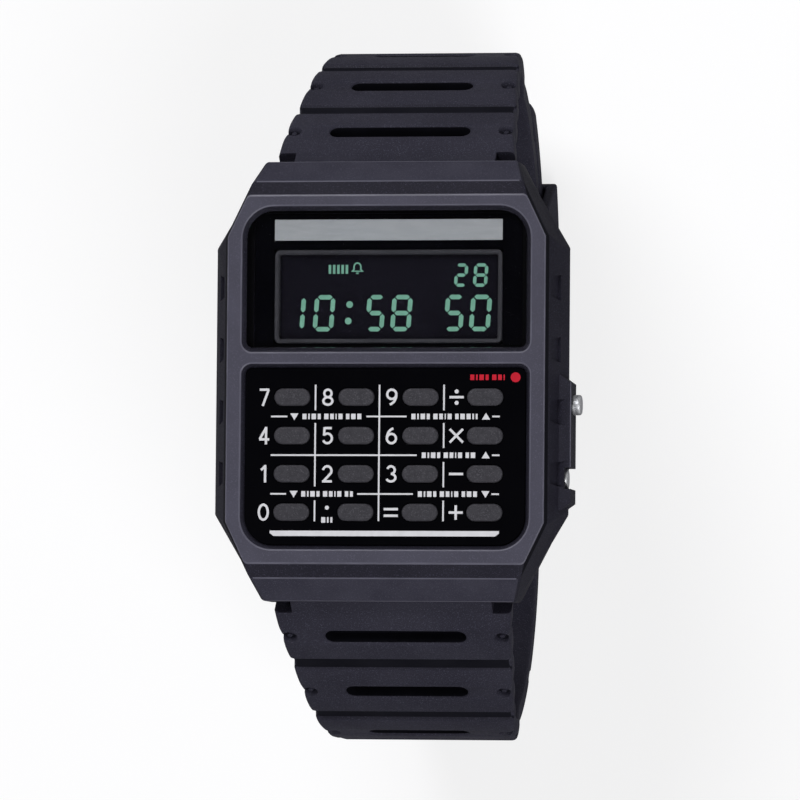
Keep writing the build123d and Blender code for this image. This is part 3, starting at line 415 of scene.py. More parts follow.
def ribbon(work, points, half, closed=False, lift=0, least_mitre=0.5):
    """Strip of one width along a line of points. Crossing strips differ a little in `lift`."""
    line = [Vector(point) for point in points]
    sides = []
    for i, here in enumerate(line):
        ways = []
        if closed or i > 0:
            ways.append((here - line[i - 1]).normalized())
        if closed or i < len(line) - 1:
            ways.append((line[(i + 1) % len(line)] - here).normalized())
        normals = [Vector((-way.y, way.x)) for way in ways]
        mitre = sum(normals, Vector((0, 0))).normalized()
        offset = mitre * half / max(mitre.dot(normals[0]), least_mitre)
        sides.append((work.verts.new((*(here + offset), lift)),
                      work.verts.new((*(here - offset), lift))))
    for (a, b), (c, d) in zip(sides, sides[1:] + sides[:1] if closed else sides[1:]):
        work.faces.new((a, b, d, c))


def arc(x, y, across, up, start, end, count=18):
    """Points of part of an ellipse, by angles from the right-hand side."""
    angles = [math.radians(start + (end - start) * i / count) for i in range(count + 1)]
    return [(x + across * math.cos(a), y + up * math.sin(a)) for a in angles]


def raised(work, name, level, thickness):
    """Turns flat outlines drawn in millimetres into a thin print standing on a level."""
    bmesh.ops.recalc_face_normals(work, faces=work.faces)
    for face in work.faces:
        if face.normal.z < 0:
            face.normal_flip()
    lifted = bmesh.ops.extrude_face_region(work, geom=work.faces[:], use_keep_orig=True)
    tops = [item for item in lifted["geom"] if isinstance(item, bmesh.types.BMVert)]
    bmesh.ops.translate(work, verts=tops, vec=(0, 0, thickness))
    bmesh.ops.translate(work, verts=work.verts, vec=(0, 0, level))
    return to_piece(work, name)


def disc(work, x, y, radius, sides=24):
    """Flat round spot."""
    bmesh.ops.create_circle(work, cap_ends=True, segments=sides, radius=radius,
                            matrix=Matrix.Translation((x, y, 0)))


def patch(work, left, right, low, high, lift=0):
    """Flat upright rectangle."""
    work.faces.new([work.verts.new((x, y, lift)) for x, y in
                    ((left, low), (right, low), (right, high), (left, high))])


work = bmesh.new()
for digit, left, width in time_figures:
    figure(work, digit, left, time_low, width, time_height, time_bar_half, time_gap)
for digit, left, width in date_figures:
    figure(work, digit, left, date_low, width, date_height, date_bar_half, date_gap)
for x, y in colon_dots:
    disc(work, x, y, colon_radius)
for bar in range(row_bars):
    left = row_left + row_pitch * bar
    patch(work, left, left + row_bar_width, row_low, row_high)
ribbon(work, [(bell_x - x, bell_y + y) for x, y in bell_brim]
       + arc(bell_x, bell_y + bell_dome_rise, bell_dome_half, bell_dome_height, 180, 0)
       + [(bell_x + x, bell_y + y) for x, y in bell_brim[::-1]], bell_line_half, closed=True)
patch(work, bell_x - clapper_half, bell_x + clapper_half, bell_y + clapper_low,
      bell_y + clapper_high)
figures = coat(raised(work, "display_figures", figure_level, figure_thickness), figure_green)
place(figures, "case", "display_cell")

# Keypad. Glossy black plate with white figures, hairlines and triangles printed on it and a
# slot for each of the sixteen grey resin keys, which stand on the rubber membrane.
panel_black = grained("panel lacquer", (4, 4, 7), (6, 6, 9), 8.0, 0.5, 0.0004, (0.06, 0.1),
                      strength=0.1, IOR=1.4)
key_grey = grained("key resin", (50, 49, 55), (58, 57, 63), 0.35, 0.13, 0.014, (0.5, 0.62),
                   speck=(84, 83, 90), IOR=1.3)
print_white = grained("white print", (224, 224, 229), (216, 216, 221), 1.0, 0.1, 0.001,
                      (0.5, 0.6), IOR=1.2)
print_red = grained("red print", (206, 38, 56), (196, 34, 52), 1.0, 0.1, 0.001, (0.5, 0.6),
                    IOR=1.15)
dress(panel_black, "keypad_panel")
for mark in (*"0123456789", "point", "equals", "plus", "minus", "multiply", "divide"):
    dress(key_grey, "key_" + mark)

panel_level = box_in_mm("keypad_panel")[1][2]
print_thickness = 0.02
crossing_lift = 0.005
label_columns = (-11.93, -5.65, 0.65, 7.03)
label_rows = (-1.76, -5.51, -9.23, -12.98)
digit_labels = ("789", "456", "123", "0")
digit_width, digit_height, stroke_half = 1.12, 1.7, 0.115
sign_half, sign_line_half, sign_dot = 0.7, 0.12, 0.2
divide_dot_rise, equals_rise, point_rise = 0.55, 0.32, 0.45
# Angle and lift of each arm of the multiplication sign, and its reach from the middle.
cross_arms, cross_reach = ((45, 0.00225), (135, 0.00675)), 0.92


def oval(x, y, across, up):
    """Closed stroke round an ellipse."""
    return arc(x, y, across, up, 0, 345, 23), True


# Strokes of each digit in a box of 1 by 1, with whether a stroke closes on itself.
ring = oval(0.5, 0.31, 0.5, 0.31)
hook = arc(0.86, 0.33, 0.86, 0.66, 178, 100, 8), False
strokes = {
    "0": (oval(0.5, 0.5, 0.5, 0.5),),
    "1": (([(0.66, -0.08), (0.66, 1.08)], False), ([(0.2, 0.74), (0.64, 0.98)], False)),
    "2": ((arc(0.5, 0.7, 0.47, 0.3, 170, -32) + [(0.08, 0.0)], False),
          ([(-0.06, 0.0), (1.02, 0.0)], False)),
    "3": ((arc(0.48, 0.75, 0.42, 0.25, 160, -90), False),
          (arc(0.48, 0.25, 0.5, 0.25, 90, -160), False)),
    "4": (([(0.72, -0.08), (0.72, 1.08)], False), ([(0.7, 1.0), (0.02, 0.27)], False),
          ([(-0.04, 0.25), (1.08, 0.25)], False)),
    "5": (([(0.96, 1.0), (0.16, 1.0)], False), ([(0.17, 1.06), (0.11, 0.5)], False),
          (arc(0.48, 0.32, 0.5, 0.32, 138, -155), False)),
    "6": (ring, hook),
    "7": (([(-0.02, 1.0), (1.04, 1.0)], False), ([(0.96, 0.98), (0.32, -0.08)], False)),
    "8": (oval(0.5, 0.75, 0.4, 0.25), oval(0.5, 0.25, 0.5, 0.25)),
    "9": [([(1 - x, 1 - y) for x, y in points], closed) for points, closed in (ring, hook)]}


def lettering(work, digit, x, y):
    """Plain figure of even strokes, centred at a place."""
    wide, high = digit_width - 2 * stroke_half, digit_height - 2 * stroke_half
    for number, (points, closed) in enumerate(strokes[digit]):
        ribbon(work, [(x + (a - 0.5) * wide, y + (b - 0.5) * high) for a, b in points],
               stroke_half, closed, number * crossing_lift)


def level_stroke(work, x, y):
    """Level line of a sign, centred at a place."""
    patch(work, x - sign_half, x + sign_half, y - sign_line_half, y + sign_line_half)


def printed(work, name, ink):
    """Lays flat outlines on the panel as a print of one ink."""
    piece = coat(raised(work, name, panel_level, print_thickness), ink)
    place(piece, "case", "panel_black")


work = bmesh.new()
for row, y in zip(digit_labels, label_rows):
    for digit, x in zip(row, label_columns):
        lettering(work, digit, x, y)
_, point_x, equals_x, sign_x = label_columns
divide_y, multiply_y, minus_y, plus_y = label_rows
for y in (divide_y, minus_y, plus_y):
    level_stroke(work, sign_x, y)
for side in (1, -1):
    disc(work, sign_x, divide_y + side * divide_dot_rise, sign_dot)
    level_stroke(work, equals_x, plus_y + side * equals_rise)
patch(work, sign_x - sign_line_half, sign_x + sign_line_half, plus_y - sign_half,
      plus_y + sign_half, crossing_lift)
disc(work, point_x, plus_y + point_rise, sign_dot)
centre = Vector((sign_x, multiply_y))
for degrees, lift in cross_arms:
    angle = math.radians(degrees)
    arm = Vector((math.cos(angle), math.sin(angle))) * cross_reach
    ribbon(work, [centre - arm, centre + arm], stroke_half, lift=lift)
printed(work, "panel_figures", print_white)

rule_half = 0.08
upright_rules = ((-6.87, ((-0.55, -3.04), (-4.28, -10.46), (-11.82, -13.86))),
                 (-0.56, ((-0.55, -13.83),)),
                 (5.79, ((-0.55, -3.04), (-4.28, -6.7), (-8.07, -10.52), (-11.82, -13.83))))
level_rules = ((-3.64, ((-11.25, -9.64), (-1.83, 2.12), (10.54, 11.28))),
               (-7.41, ((-11.25, 3.16), (10.54, 11.28))),
               (-11.19, ((-11.25, -9.7), (-2.68, 2.81), (10.52, 11.26))))
pointers = ((-8.95, -3.64, -1), (9.93, -3.64, 1), (9.93, -7.41, 1), (-8.95, -11.19, -1),
            (9.93, -11.19, -1))
pointer_half, pointer_foot, pointer_tip = 0.4, 0.3, 0.36
small_words = ((-3.64, -8.15, -2.3), (-3.64, 2.6, 9.1), (-7.41, 3.65, 9.1),
               (-11.19, -8.2, -3.1), (-11.19, 3.3, 9.1), (-13.72, -6.2, -5.1))
word_half, word_gap, least_bar = 0.27, 0.17, 0.1
word_bars = (0.4, 0.16, 0.44, 0.3, 0.0, 0.42, 0.36, 0.12, 0.4, 0.0, 0.34, 0.44)
foot_line = ((-11.28, -14.77), (11.28, -14.77), (11.28, -15.02), (10.9, -15.3), (-10.9, -15.3),
             (-11.28, -15.02))
spot_x, spot_y, spot_radius = 12.8, 0.17, 0.48
spot_word = (8.35, 11.95)


def small_word(work, left, right, y):
    """Row of plain upright bars, as small print looks from afar."""
    x = left
    number = 0
    while x < right - least_bar:
        wide = word_bars[number % len(word_bars)]
        if wide:
            patch(work, x, min(x + wide, right), y - word_half, y + word_half)
        x += wide + word_gap
        number += 1


work = bmesh.new()
for x, spans in upright_rules:
    for high, low in spans:
        patch(work, x - rule_half, x + rule_half, low, high, crossing_lift)
for y, spans in level_rules:
    for left, right in spans:
        patch(work, left, right, y - rule_half, y + rule_half)
for x, y, way in pointers:
    foot = y - way * pointer_foot
    corners = ((x - pointer_half, foot), (x + pointer_half, foot), (x, y + way * pointer_tip))
    work.faces.new([work.verts.new((a, b, 0)) for a, b in corners])
for y, left, right in small_words:
    small_word(work, left, right, y)
work.faces.new([work.verts.new((a, b, 0)) for a, b in foot_line])
printed(work, "panel_rules", print_white)

work = bmesh.new()
disc(work, spot_x, spot_y, spot_radius, 32)
small_word(work, *spot_word, spot_y)
printed(work, "panel_spot", print_red)

# Pushers. Two turned and chromed steel buttons with three grooves round their heads, in bores
# at three o'clock. The upper one stands out and the lower one is sunk in the guard. A clip
# inside the case holds each against its spring.
chrome = grained("chrome", (214, 215, 218), (204, 205, 209), 1.5, 0.12, 0.002, (0.1, 0.2),
                 Metallic=1.0)
turned_chrome = grained("turned chrome", (226, 227, 230), (196, 197, 202), 0.3, 0.06, 0.006,
                        (0.4, 0.55), strength=0.2, stretch=(1, 0.03, 0.03), Metallic=1.0)
head_lengths = {"mode_pusher": 2.3, "adjust_pusher": 1.6}
shank_radius, head_radius, chamfer, head_slope = 0.6, 1.0, 0.04, 0.05
turned_grooves, turned_first, turned_pitch = 3, 1.14, 0.26
# Each groove's line along the head, and the head's rounded end by how far back it lies.
turned_line = ((0.0, 1.0), (0.04, 0.965), (0.09, 0.965), (0.13, 1.0))
head_end = ((0.3, 1.0), (0.2, 0.995), (0.1, 0.96), (0.04, 0.9), (0.01, 0.83), (0.0, 0.74),
            (0.0, 0.0))
for name, length in head_lengths.items():
    (start, y_low, z_low), (end, y_high, z_high) = box_in_mm(name)
    y, z, head = (y_low + y_high) / 2, (z_low + z_high) / 2, end - length
    section = [(start, 0), (start, shank_radius - chamfer), (start + chamfer, shank_radius),
               (head, shank_radius), (head, head_radius - chamfer),
               (head + head_slope, head_radius)]
    for groove in range(turned_grooves):
        x = end - turned_first + turned_pitch * groove
        section += [(x + along, radius) for along, radius in turned_line]
    section += [(end - back, radius) for back, radius in head_end]
    work = bmesh.new()
    line = [work.verts.new((x, y, z + radius)) for x, radius in section]
    spokes = [work.edges.new(pair) for pair in zip(line, line[1:])]
    bmesh.ops.spin(work, geom=line + spokes, axis=(1, 0, 0), cent=(0, y, z),
                   angle=2 * math.pi, steps=48, use_merge=True)
    bmesh.ops.remove_doubles(work, verts=work.verts, dist=merge_distance / 2)
    button = smooth(coat(to_piece(work, name + "_button"), turned_chrome), turned_crease)
    place(button, name, "chrome", name)

# Spring bars. Drawn and plated steel tubes with a sprung tip at each end, one behind each hood,
# whose tips stand in blind holes in the lugs.
dress(nickel, "bar_tube_12", "bar_tube_6", "bar_tip_12_left", "bar_tip_12_right",
      "bar_tip_6_left", "bar_tip_6_right")

# Strap. Two mouldings of soft black resin, wide at the case and narrower behind the wrist, with
# nicked edges and crowned cells, each with a long blind slot and a small eyelet at either side
# and grooves between them. A half is worked flat, then wrapped along its line from the bar.
strap_resin = grained("strap resin", (44, 43, 55), (51, 50, 62), 7.0, 0.16, 0.03, (0.5, 0.66),
                      strength=0.55, speck=(78, 77, 93), IOR=1.22)
# Painted shade: faces at the depth of the groove floors, the eyelets' dimples among them, are
# darker than the strap resin, standing in for the shade down in them.
groove_painted_shade = grained("painted shade in strap grooves", (20, 20, 28), (25, 25, 33), 4.0, 0.15, 0.015,
                       (0.55, 0.66), IOR=1.15)
# Painted shade: faces at slot depth near the middle, the walls and floors of the slots and
# holes, are near black, standing in for the shade inside them.
slot_painted_shade = grained("painted shade inside slots", (11, 11, 16), (15, 15, 21), 3.0, 0.15, 0.015,
                     (0.6, 0.7), IOR=1.1)
strap_thickness = 2.2
knuckle_radius, bar_radius = 1.9, 0.8
bar_y, bar_z = 19.4, 3.0
neck_angle, neck_turn = 42.0, 14.0
front_legs = [(3.0, 0), (5.0, neck_turn), (8.5, 0)]
front_length = sum(length for length, _ in front_legs)
loop_radius = 22.66
pivot_inset = 2.14
layer_step = 2.5
crossing_length, crossing_gap = 8.0, 3.0
tail_turn = 58.0
# Levels and half the width there, from above the lugs down to the far side of the loop.
half_widths = ((100.0, 12.0), (4.9, 12.0), (-15.0, 9.75), (-30.0, 8.2), (-100.0, 8.2))
cells_end, cell_stride, plain_stride = 49.0, 0.55, 1.0
cell_count, slot_first, groove_first, cell_pitch = 5, 6.05, 10.7, 9.2
crown_start, crown_end = 2.0, groove_first + (cell_count - 1) * cell_pitch + 1
crown_depth, crown_reach = 0.24, 3.0
groove_start, groove_depth, groove_half, groove_wall = 6.0, 0.36, 0.75, 0.3
nick_start, nick_depth, nicked_cells = 4.0, 0.28, 2
edge_profile = ((0.0, 0.48), (0.08, 0.24), (0.24, 0.08), (0.55, 0.0))
inner_edge_share = 0.35


def walk(legs, distance, depth=0):
    """Place on the strap's outer line, `depth` towards the wrist; legs are (length, turn)."""
    steep = math.radians(neck_angle)
    y = bar_y + knuckle_radius * math.sin(steep)
    z = bar_z + knuckle_radius * math.cos(steep)
    left = distance
    heading = neck_angle
    for number, (length, turn) in enumerate(legs):
        last = number == len(legs) - 1
        step = left if last else min(left, length)
        if turn and step > 0:
            radius = length / math.radians(turn)
            new = heading + turn * step / length
            y += radius * (math.sin(math.radians(new)) - math.sin(math.radians(heading)))
            z += radius * (math.cos(math.radians(new)) - math.cos(math.radians(heading)))
            heading = new
        else:
            y += step * math.cos(math.radians(heading))
            z -= step * math.sin(math.radians(heading))
        left -= step
        if left <= 0:
            break
    steep = math.radians(heading)
    return y - depth * math.sin(steep), z - depth * math.cos(steep)


slope_angle = neck_angle + neck_turn
slope_end_y = walk(front_legs, front_length)[0]
loop_centre_y = slope_end_y - loop_radius * math.sin(math.radians(slope_angle))
loop_leg = (loop_radius * math.radians(180 - slope_angle), 180 - slope_angle)
pivot_y = loop_centre_y - pivot_inset
crossing_start = crossing_length + crossing_gap - pivot_y
crossing_turn = 2 * math.degrees(math.atan(layer_step / crossing_length))
crossing_radius = crossing_length / (2 * math.sin(math.radians(crossing_turn)))
crossing_leg = crossing_radius * math.radians(crossing_turn)
tail_radius = loop_radius + layer_step
short_legs = front_legs + [loop_leg, (pivot_inset, 0)]
long_legs = front_legs + [
    loop_leg, (loop_centre_y - crossing_start, 0), (crossing_leg, -crossing_turn),
    (crossing_leg, crossing_turn), (loop_centre_y + crossing_start - crossing_length, 0),
    (tail_radius * math.radians(tail_turn), tail_turn)]
short_length = sum(length for length, _ in short_legs)
long_length = sum(length for length, _ in long_legs)


def half_width(z):
    """Half the strap's width at a level below the face."""
    for (z1, w1), (z2, w2) in zip(half_widths, half_widths[1:]):
        if z >= z2:
            return w1 + (z1 - z) / (z1 - z2) * (w2 - w1)
    return half_widths[-1][1]


def scalloped(legs, distance):
    """Half width with the shallow nicks between the lumps along both edges."""
    wide = half_width(walk(legs, distance)[1])
    if nick_start < distance < groove_first + nicked_cells * cell_pitch:
        phase = (distance - groove_first) / (cell_pitch / 2)
        wide -= nick_depth * (1 - abs(math.sin(math.pi * phase))) ** 2
    return wide


def outer_depth(distance):
    """How far the outer face lies below its line: crowned cells with a groove between them."""
    if distance < 0:
        return knuckle_radius - math.sqrt(max(knuckle_radius ** 2 - distance ** 2, 0))
    if not crown_start < distance < crown_end:
        return 0
    phase = (distance - groove_first) / cell_pitch
    from_groove = abs(phase - round(phase)) * cell_pitch
    depth = crown_depth * max(0, 1 - from_groove / crown_reach) ** 2
    if distance > groove_start:
        wall = min(max((from_groove - groove_half) / groove_wall, 0), 1)
        depth += groove_depth * (1 - wall * wall * (3 - 2 * wall))
    return depth


def inner_depth(distance):
    """Depth of the wrist side, with the knuckle round the spring bar."""
    if abs(distance) < knuckle_radius:
        return max(strap_thickness,
                   knuckle_radius + math.sqrt(knuckle_radius ** 2 - distance ** 2))
    return strap_thickness


def flat_half(name, stations, width_at, outer, inner):
    """One half laid flat: X across, Y along and Z towards the wrist, in millimetres."""
    work = bmesh.new()
    rows = []
    for s in stations:
        wide, top, low = width_at(s), outer(s), inner(s)
        fit = min(1, (low - top) / strap_thickness, wide / 2)
        left = [(inset * fit - wide, drop * fit) for inset, drop in edge_profile]
        middle = [(-wide / 3, 0), (0, 0), (wide / 3, 0)]
        columns = left + middle + [(-x, drop) for x, drop in left[::-1]]
        rows.append(([work.verts.new((x, s, top + drop)) for x, drop in columns],
                     [work.verts.new((x, s, low - inner_edge_share * drop))
                      for x, drop in columns]))
    for (top_a, low_a), (top_b, low_b) in zip(rows, rows[1:]):
        for i in range(len(top_a) - 1):
            work.faces.new((top_a[i], top_a[i + 1], top_b[i + 1], top_b[i]))
            work.faces.new((low_a[i], low_b[i], low_b[i + 1], low_a[i + 1]))
        work.faces.new((top_a[0], top_b[0], low_b[0], low_a[0]))
        work.faces.new((top_a[-1], low_a[-1], low_b[-1], top_b[-1]))
    for top, low in (rows[0], rows[-1]):
        work.faces.new(top + low[::-1])
    return to_piece(work, name, 1)


cut_edge_radius, cut_crease = 0.13, math.radians(48)
wrap_merge_distance = 0.002
slot_shade_depths, slot_shade_reach = (0.6, 1.9), 7.3
groove_shade_depths = (0.45, 0.62)
shaded_slot_number, shaded_groove_number = 1, 2
strap_crease = math.radians(38)


def cut_out(half, cut):
    """Cuts holes and recesses out of a flat half and rounds the edges that turn sharply."""
    work = bmesh.new()
    cut(work)
    tool = to_piece(work, "strap cuts", 1)
    hollow = half.modifiers.new("cuts", "BOOLEAN")
    hollow.object = tool
    hollow.operation = "DIFFERENCE"
    hollow.solver = "EXACT"
    hollow.use_self = True
    rounding = half.modifiers.new("rounded edges", "BEVEL")
    rounding.width = cut_edge_radius
    rounding.segments = 2
    rounding.limit_method = "ANGLE"
    rounding.angle_limit = cut_crease
    bpy.context.view_layer.update()
    shaped = bpy.data.meshes.new_from_object(
        half.evaluated_get(bpy.context.evaluated_depsgraph_get()))
    bpy.data.objects.remove(tool)
    half.modifiers.clear()
    half.data = shaped


def wrap(half, legs, sign):
    """Bends a flat half along its line, towards plus or minus Y, and closes its seams."""
    for vertex in half.data.vertices:
        y, z = walk(legs, vertex.co.y, vertex.co.z)
        vertex.co = (vertex.co.x * mm, sign * y * mm, z * mm)
    work = bmesh.new()
    work.from_mesh(half.data)
    bmesh.ops.remove_doubles(work, verts=work.verts, dist=wrap_merge_distance * mm)
    bmesh.ops.recalc_face_normals(work, faces=work.faces)
    work.to_mesh(half.data)
    work.free()


def strap_half(name, legs, stations, width_at, outer, inner, cut, sign):
    """One half of the strap: made flat, cut, coated by depth with painted shade in its recesses,
    and wrapped along its line.
    """
    half = flat_half(name, stations, width_at, outer, inner)
    cut_out(half, cut)
    coat(half, strap_resin, slot_painted_shade, groove_painted_shade)
    for polygon in half.data.polygons:
        across, _, depth = polygon.center
        # Faces at slot depth near the middle take the painted shade of the slots.
        if slot_shade_depths[0] < depth < slot_shade_depths[1] and abs(across) < slot_shade_reach:
            polygon.material_index = shaded_slot_number
        # Faces at groove depth, in the grooves and the eyelets' dimples, take the painted shade
        # of the grooves.
        elif groove_shade_depths[0] < depth < groove_shade_depths[1]:
            polygon.material_index = shaded_groove_number
    wrap(half, legs, sign)
    return smooth(half, strap_crease)


groove_rows = (0.25, 0.75, 0.82, 0.9, 0.98, 1.05, 1.1)
groove_clearance = 1.2


def steps(start, end, stride):
    """Even stations from a start to just before an end."""
    count = max(1, round((end - start) / stride))
    return [start + (end - start) * i / count for i in range(count)]


def cell_rows():
    """Stations over the cells, close together at the walls of each groove."""
    grooves = [groove_first + cell_pitch * i for i in range(cell_count)]
    rows = [s for s in steps(0, cells_end, cell_stride)
            if all(abs(s - groove) > groove_clearance for groove in grooves)]
    return sorted(rows + [groove + side * row for groove in grooves for row in groove_rows
                          for side in (-1, 1)])


slot_lengths = (14.0, 12.2, 10.1, 9.2, 8.4)
slot_width = 1.75
slot_mouth = ((-1.0, 0.2), (-0.01, 0.2), (0.06, 0.09), (0.2, 0.0), (1.3, -0.08))
hole_mouth = ((-3.0, 0.2), (0.0, 0.2), (0.15, 0.02), (2.0, 0.02), (2.2, 0.2), (6.0, 0.2))
hole_width, hole_length, tongue_hole_length, hole_pitch, hole_shift = 2.4, 2.8, 5.4, 7.0, 0.5
hole_steps = (-2, -1, 1, 2, 3)
eyelet_inset, bore_length = 0.9, 30.0
# Radius and level round the ring that is cut for an eyelet.
eyelet_section = ((0.8, -1.2), (0.8, -0.02), (0.72, 0.1), (0.6, 0.5), (0.3, 0.5), (0.24, 0.28),
                  (0.02, 0.24), (0.02, -1.2))
neck_step_place, neck_step_size = (12.45, 0.0, 1.0), (5.0, 5.4, 8.0)
tongue_notch_place, tongue_notch_size = (0.0, 2.0, 1.1), (2.4, 10.0, 6.0)


def stadium(work, x, s, length, width, mouth, along_x=True, sides=16):
    """Upright prism with round ends, centred at a place on the flat strap. Each row of `mouth`
    is a level and how far the outline stands out there, so the mouth can be flared."""
    rings = []
    reach = (length - width) / 2
    for level, growth in mouth:
        points = []
        radius = width / 2 + growth
        for end in (1, -1):
            for i in range(sides + 1):
                angle = math.pi * (i / sides - 0.5) + (0 if end == 1 else math.pi)
                a = end * reach + radius * math.cos(angle)
                b = radius * math.sin(angle)
                points.append((x + a, s + b) if along_x else (x - b, s + a))
        rings.append([work.verts.new((a, b, level)) for a, b in points])
    work.faces.new(rings[0])
    work.faces.new(rings[-1])
    join_rings(work, rings)


def eyelet(work, x, s, sides=24):
    """Ring-shaped cut that leaves a small pin standing in a round dimple."""
    angles = [math.radians(360 / sides * i) for i in range(sides)]
    rings = [[work.verts.new((x + radius * math.cos(angle), s + radius * math.sin(angle), level))
              for angle in angles] for radius, level in eyelet_section]
    join_rings(work, rings + rings[:1])


def block(work, centre, size):
    """Upright block, cut out of the flat strap."""
    bmesh.ops.create_cube(work, size=1, matrix=Matrix.Translation(centre)
                          @ Matrix.Diagonal((*size, 1)))


def front_cuts(work, legs):
    """Slots, eyelets, the bore for the spring bar and the steps beside the neck."""
    for row, length in enumerate(slot_lengths):
        s = slot_first + row * cell_pitch
        stadium(work, 0, s, length, slot_width, slot_mouth)
        wide = half_width(walk(legs, s)[1])
        for side in (1, -1):
            eyelet(work, side * (wide - eyelet_inset), s)
    turn = Matrix.Rotation(math.radians(90), 4, "Y")
    bmesh.ops.create_cone(work, cap_ends=True, segments=32, radius1=bar_radius,
                          radius2=bar_radius, depth=bore_length,
                          matrix=Matrix.Translation((0, 0, knuckle_radius)) @ turn)
    x, s, level = neck_step_place
    for side in (1, -1):
        block(work, (side * x, s, level), neck_step_size)


def short_cuts(work):
    """Cuts of the half at twelve, with the notch in its end that the tongue turns in."""
    front_cuts(work, short_legs)
    x, beyond, level = tongue_notch_place
    block(work, (x, short_length + beyond, level), tongue_notch_size)


def long_cuts(work):
    """Cuts of the half at six, with the row of holes; the tongue stands in the longer one."""
    front_cuts(work, long_legs)
    middle = (front_length + loop_leg[0] + loop_centre_y - crossing_start + crossing_leg
              + hole_shift)
    stadium(work, 0, middle, tongue_hole_length, hole_width, hole_mouth, along_x=False)
    for step in hole_steps:
        stadium(work, 0, middle + step * hole_pitch, hole_length, hole_width, hole_mouth,
                along_x=False)


tip_length, tip_least = 5.0, 0.0004
knuckle_rows = [-knuckle_radius * math.cos(math.radians(90 * i / 8)) for i in range(8)]
end_rows = [short_length + strap_thickness / 2 * math.sin(math.radians(80 * i / 6))
            for i in range(7)]
tip_rows = [long_length - tip_length * math.cos(math.radians(90 * i / 10)) for i in range(11)]


def end_round(s, depth):
    """Depth of either face over the short half's rounded end."""
    radius = strap_thickness / 2
    drop = radius - math.sqrt(max(radius ** 2 - max(s - short_length, 0) ** 2, 0))
    return depth - drop if depth > radius else depth + drop


def tip_width(s):
    """Half width of the long half, which ends in a round tip."""
    wide = scalloped(long_legs, s)
    into = (s - (long_length - tip_length)) / tip_length
    return wide * math.sqrt(max(1 - into * into, tip_least)) if into > 0 else wide


strap_short = strap_half(
    "strap_twelve", short_legs,
    knuckle_rows + cell_rows() + steps(cells_end, short_length, plain_stride) + end_rows,
    lambda s: scalloped(short_legs, s), lambda s: end_round(s, outer_depth(s)),
    lambda s: end_round(s, inner_depth(s)), short_cuts, 1)
place(strap_short, "strap_short", "strap_resin", "strap_short")
strap_long = strap_half(
    "strap_six", long_legs,
    knuckle_rows + cell_rows() + steps(cells_end, long_length - tip_length, plain_stride)
    + tip_rows, tip_width, outer_depth, inner_depth, long_cuts, -1)
place(strap_long, "strap_long", "strap_resin", "strap_long")

# Buckle and keeper. Moulded black frame on a steel pin, a pressed steel tongue and a free
# resin loop that holds the tail down.
buckle_resin = grained("buckle resin", (24, 24, 30), (30, 29, 36), 5.0, 0.14, 0.012,
                       (0.4, 0.55), strength=0.3, IOR=1.35)
buckle_edge, tongue_edge, keeper_edge = 0.3, 0.12, 0.3
buckle = coat(softened("buckle_surround", "buckle_frame", buckle_edge), buckle_resin)
place(buckle, "buckle", "buckle_resin", "buckle_frame")
tongue = coat(softened("tongue_prong", "buckle_tongue", tongue_edge), chrome)
place(tongue, "tongue", "steel", "buckle_tongue")
dress(nickel, "buckle_bar")
keeper = coat(softened("keeper_loop", "keeper", keeper_edge), strap_resin)
place(keeper, "keeper", "strap_resin", "keeper")

# Room, in metres. Plain pale floor, a pale horizon that darkens overhead, two soft lamps close
# to the line of sight, which don't show through the glass, and a long lens at the height and
# side from which the watch was photographed.
floor_radius, floor_drop = 3.0, 0.0002
floor_glow = 0.735
sky_rise, sky_low, sky_high = 0.62, 1.0, 0.02
lamp_distance, lamp_size = 0.9, 0.42
lamps = (("lamp_upper_left", (-0.24, 0.48, 0.84), 4.2),
         ("lamp_lower_right", (0.34, -0.46, 0.82), 3.5))
yaw, pitch, roll = math.radians(9.0), math.radians(3.25), math.radians(0.5)
aim = Vector((1.5, -2.05, 8.2)) * mm
camera_distance, focal_length, sensor_width = 0.7, 324.0, 36.0

work = bmesh.new()
bmesh.ops.create_circle(work, cap_ends=True, segments=96, radius=floor_radius,
                        matrix=Matrix.Translation((0, 0, cad_box[0][2] - floor_drop)))
floor = to_piece(work, "floor", 1)


def larger(tree, first, second):
    """The larger of two wired values."""
    made = node(tree, "Math", {"operation": "MAXIMUM"})
    tree.links.new(first, made.inputs[0])
    tree.links.new(second, made.inputs[1])
    return made.outputs["Value"]


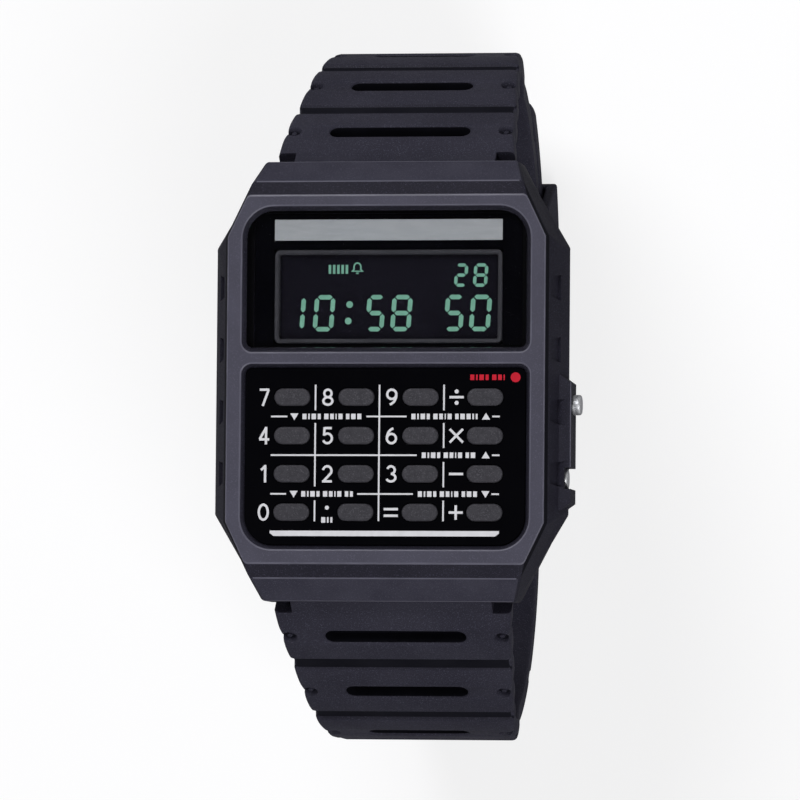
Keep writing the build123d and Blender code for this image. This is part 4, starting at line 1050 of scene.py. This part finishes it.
floor_white = grained("floor paper", (152, 152, 153), (148, 148, 150), 300.0, 3.0, 0.01,
                      (0.8, 0.9), strength=0.1, Specular_IOR_Level=0.2)
tree = floor_white.node_tree
rays = node(tree, "LightPath").outputs
seen = larger(tree, rays["Is Camera Ray"], rays["Is Transmission Ray"])
glow = node(tree, "MapRange", Value=seen, To_Min=0.0, To_Max=floor_glow)
surface = tree.nodes["Principled BSDF"]
surface.inputs["Emission Color"].default_value = (1, 1, 1, 1)
tree.links.new(glow.outputs["Result"], surface.inputs["Emission Strength"])
coat(floor, floor_white)

world = bpy.data.worlds.new("studio")
world.use_nodes = True
bpy.context.scene.world = world
tree = world.node_tree
rise = node(tree, "SeparateXYZ", Vector=node(tree, "TexCoord").outputs["Generated"])
level = node(tree, "MapRange", {"interpolation_type": "SMOOTHSTEP"}, Value=rise.outputs["Z"],
             From_Min=0.0, From_Max=sky_rise, To_Min=sky_low, To_Max=sky_high)
seen = larger(tree, level.outputs["Result"], node(tree, "LightPath").outputs["Is Camera Ray"])
sky = tree.nodes["Background"]
sky.inputs["Color"].default_value = (1, 1, 1, 1)
tree.links.new(seen, sky.inputs["Strength"])

for name, direction, power in lamps:
    light = bpy.data.lights.new(name, "AREA")
    light.shape = "DISK"
    light.energy = power
    light.size = lamp_size
    lamp = bpy.data.objects.new(name, light)
    away = Vector(direction).normalized()
    lamp.location = away * lamp_distance
    lamp.rotation_euler = away.to_track_quat("Z", "Y").to_euler()
    lamp.visible_transmission = False
    bpy.context.scene.collection.objects.link(lamp)

away = Vector((math.sin(yaw) * math.cos(pitch), -math.sin(pitch),
               math.cos(yaw) * math.cos(pitch)))
across = Vector((0, 1, 0)).cross(away).normalized()
facing = Matrix((across, away.cross(across), away)).transposed()
lens = bpy.data.cameras.new("camera")
lens.lens = focal_length
lens.sensor_width = sensor_width
lens.clip_start, lens.clip_end = 0.05, 20.0
camera = bpy.data.objects.new("camera", lens)
camera.location = aim + away * camera_distance
camera.rotation_euler = (facing @ Matrix.Rotation(roll, 3, "Z")).to_euler()
bpy.context.scene.collection.objects.link(camera)
bpy.context.scene.camera = camera
bpy.context.scene.view_settings.view_transform = "Standard"
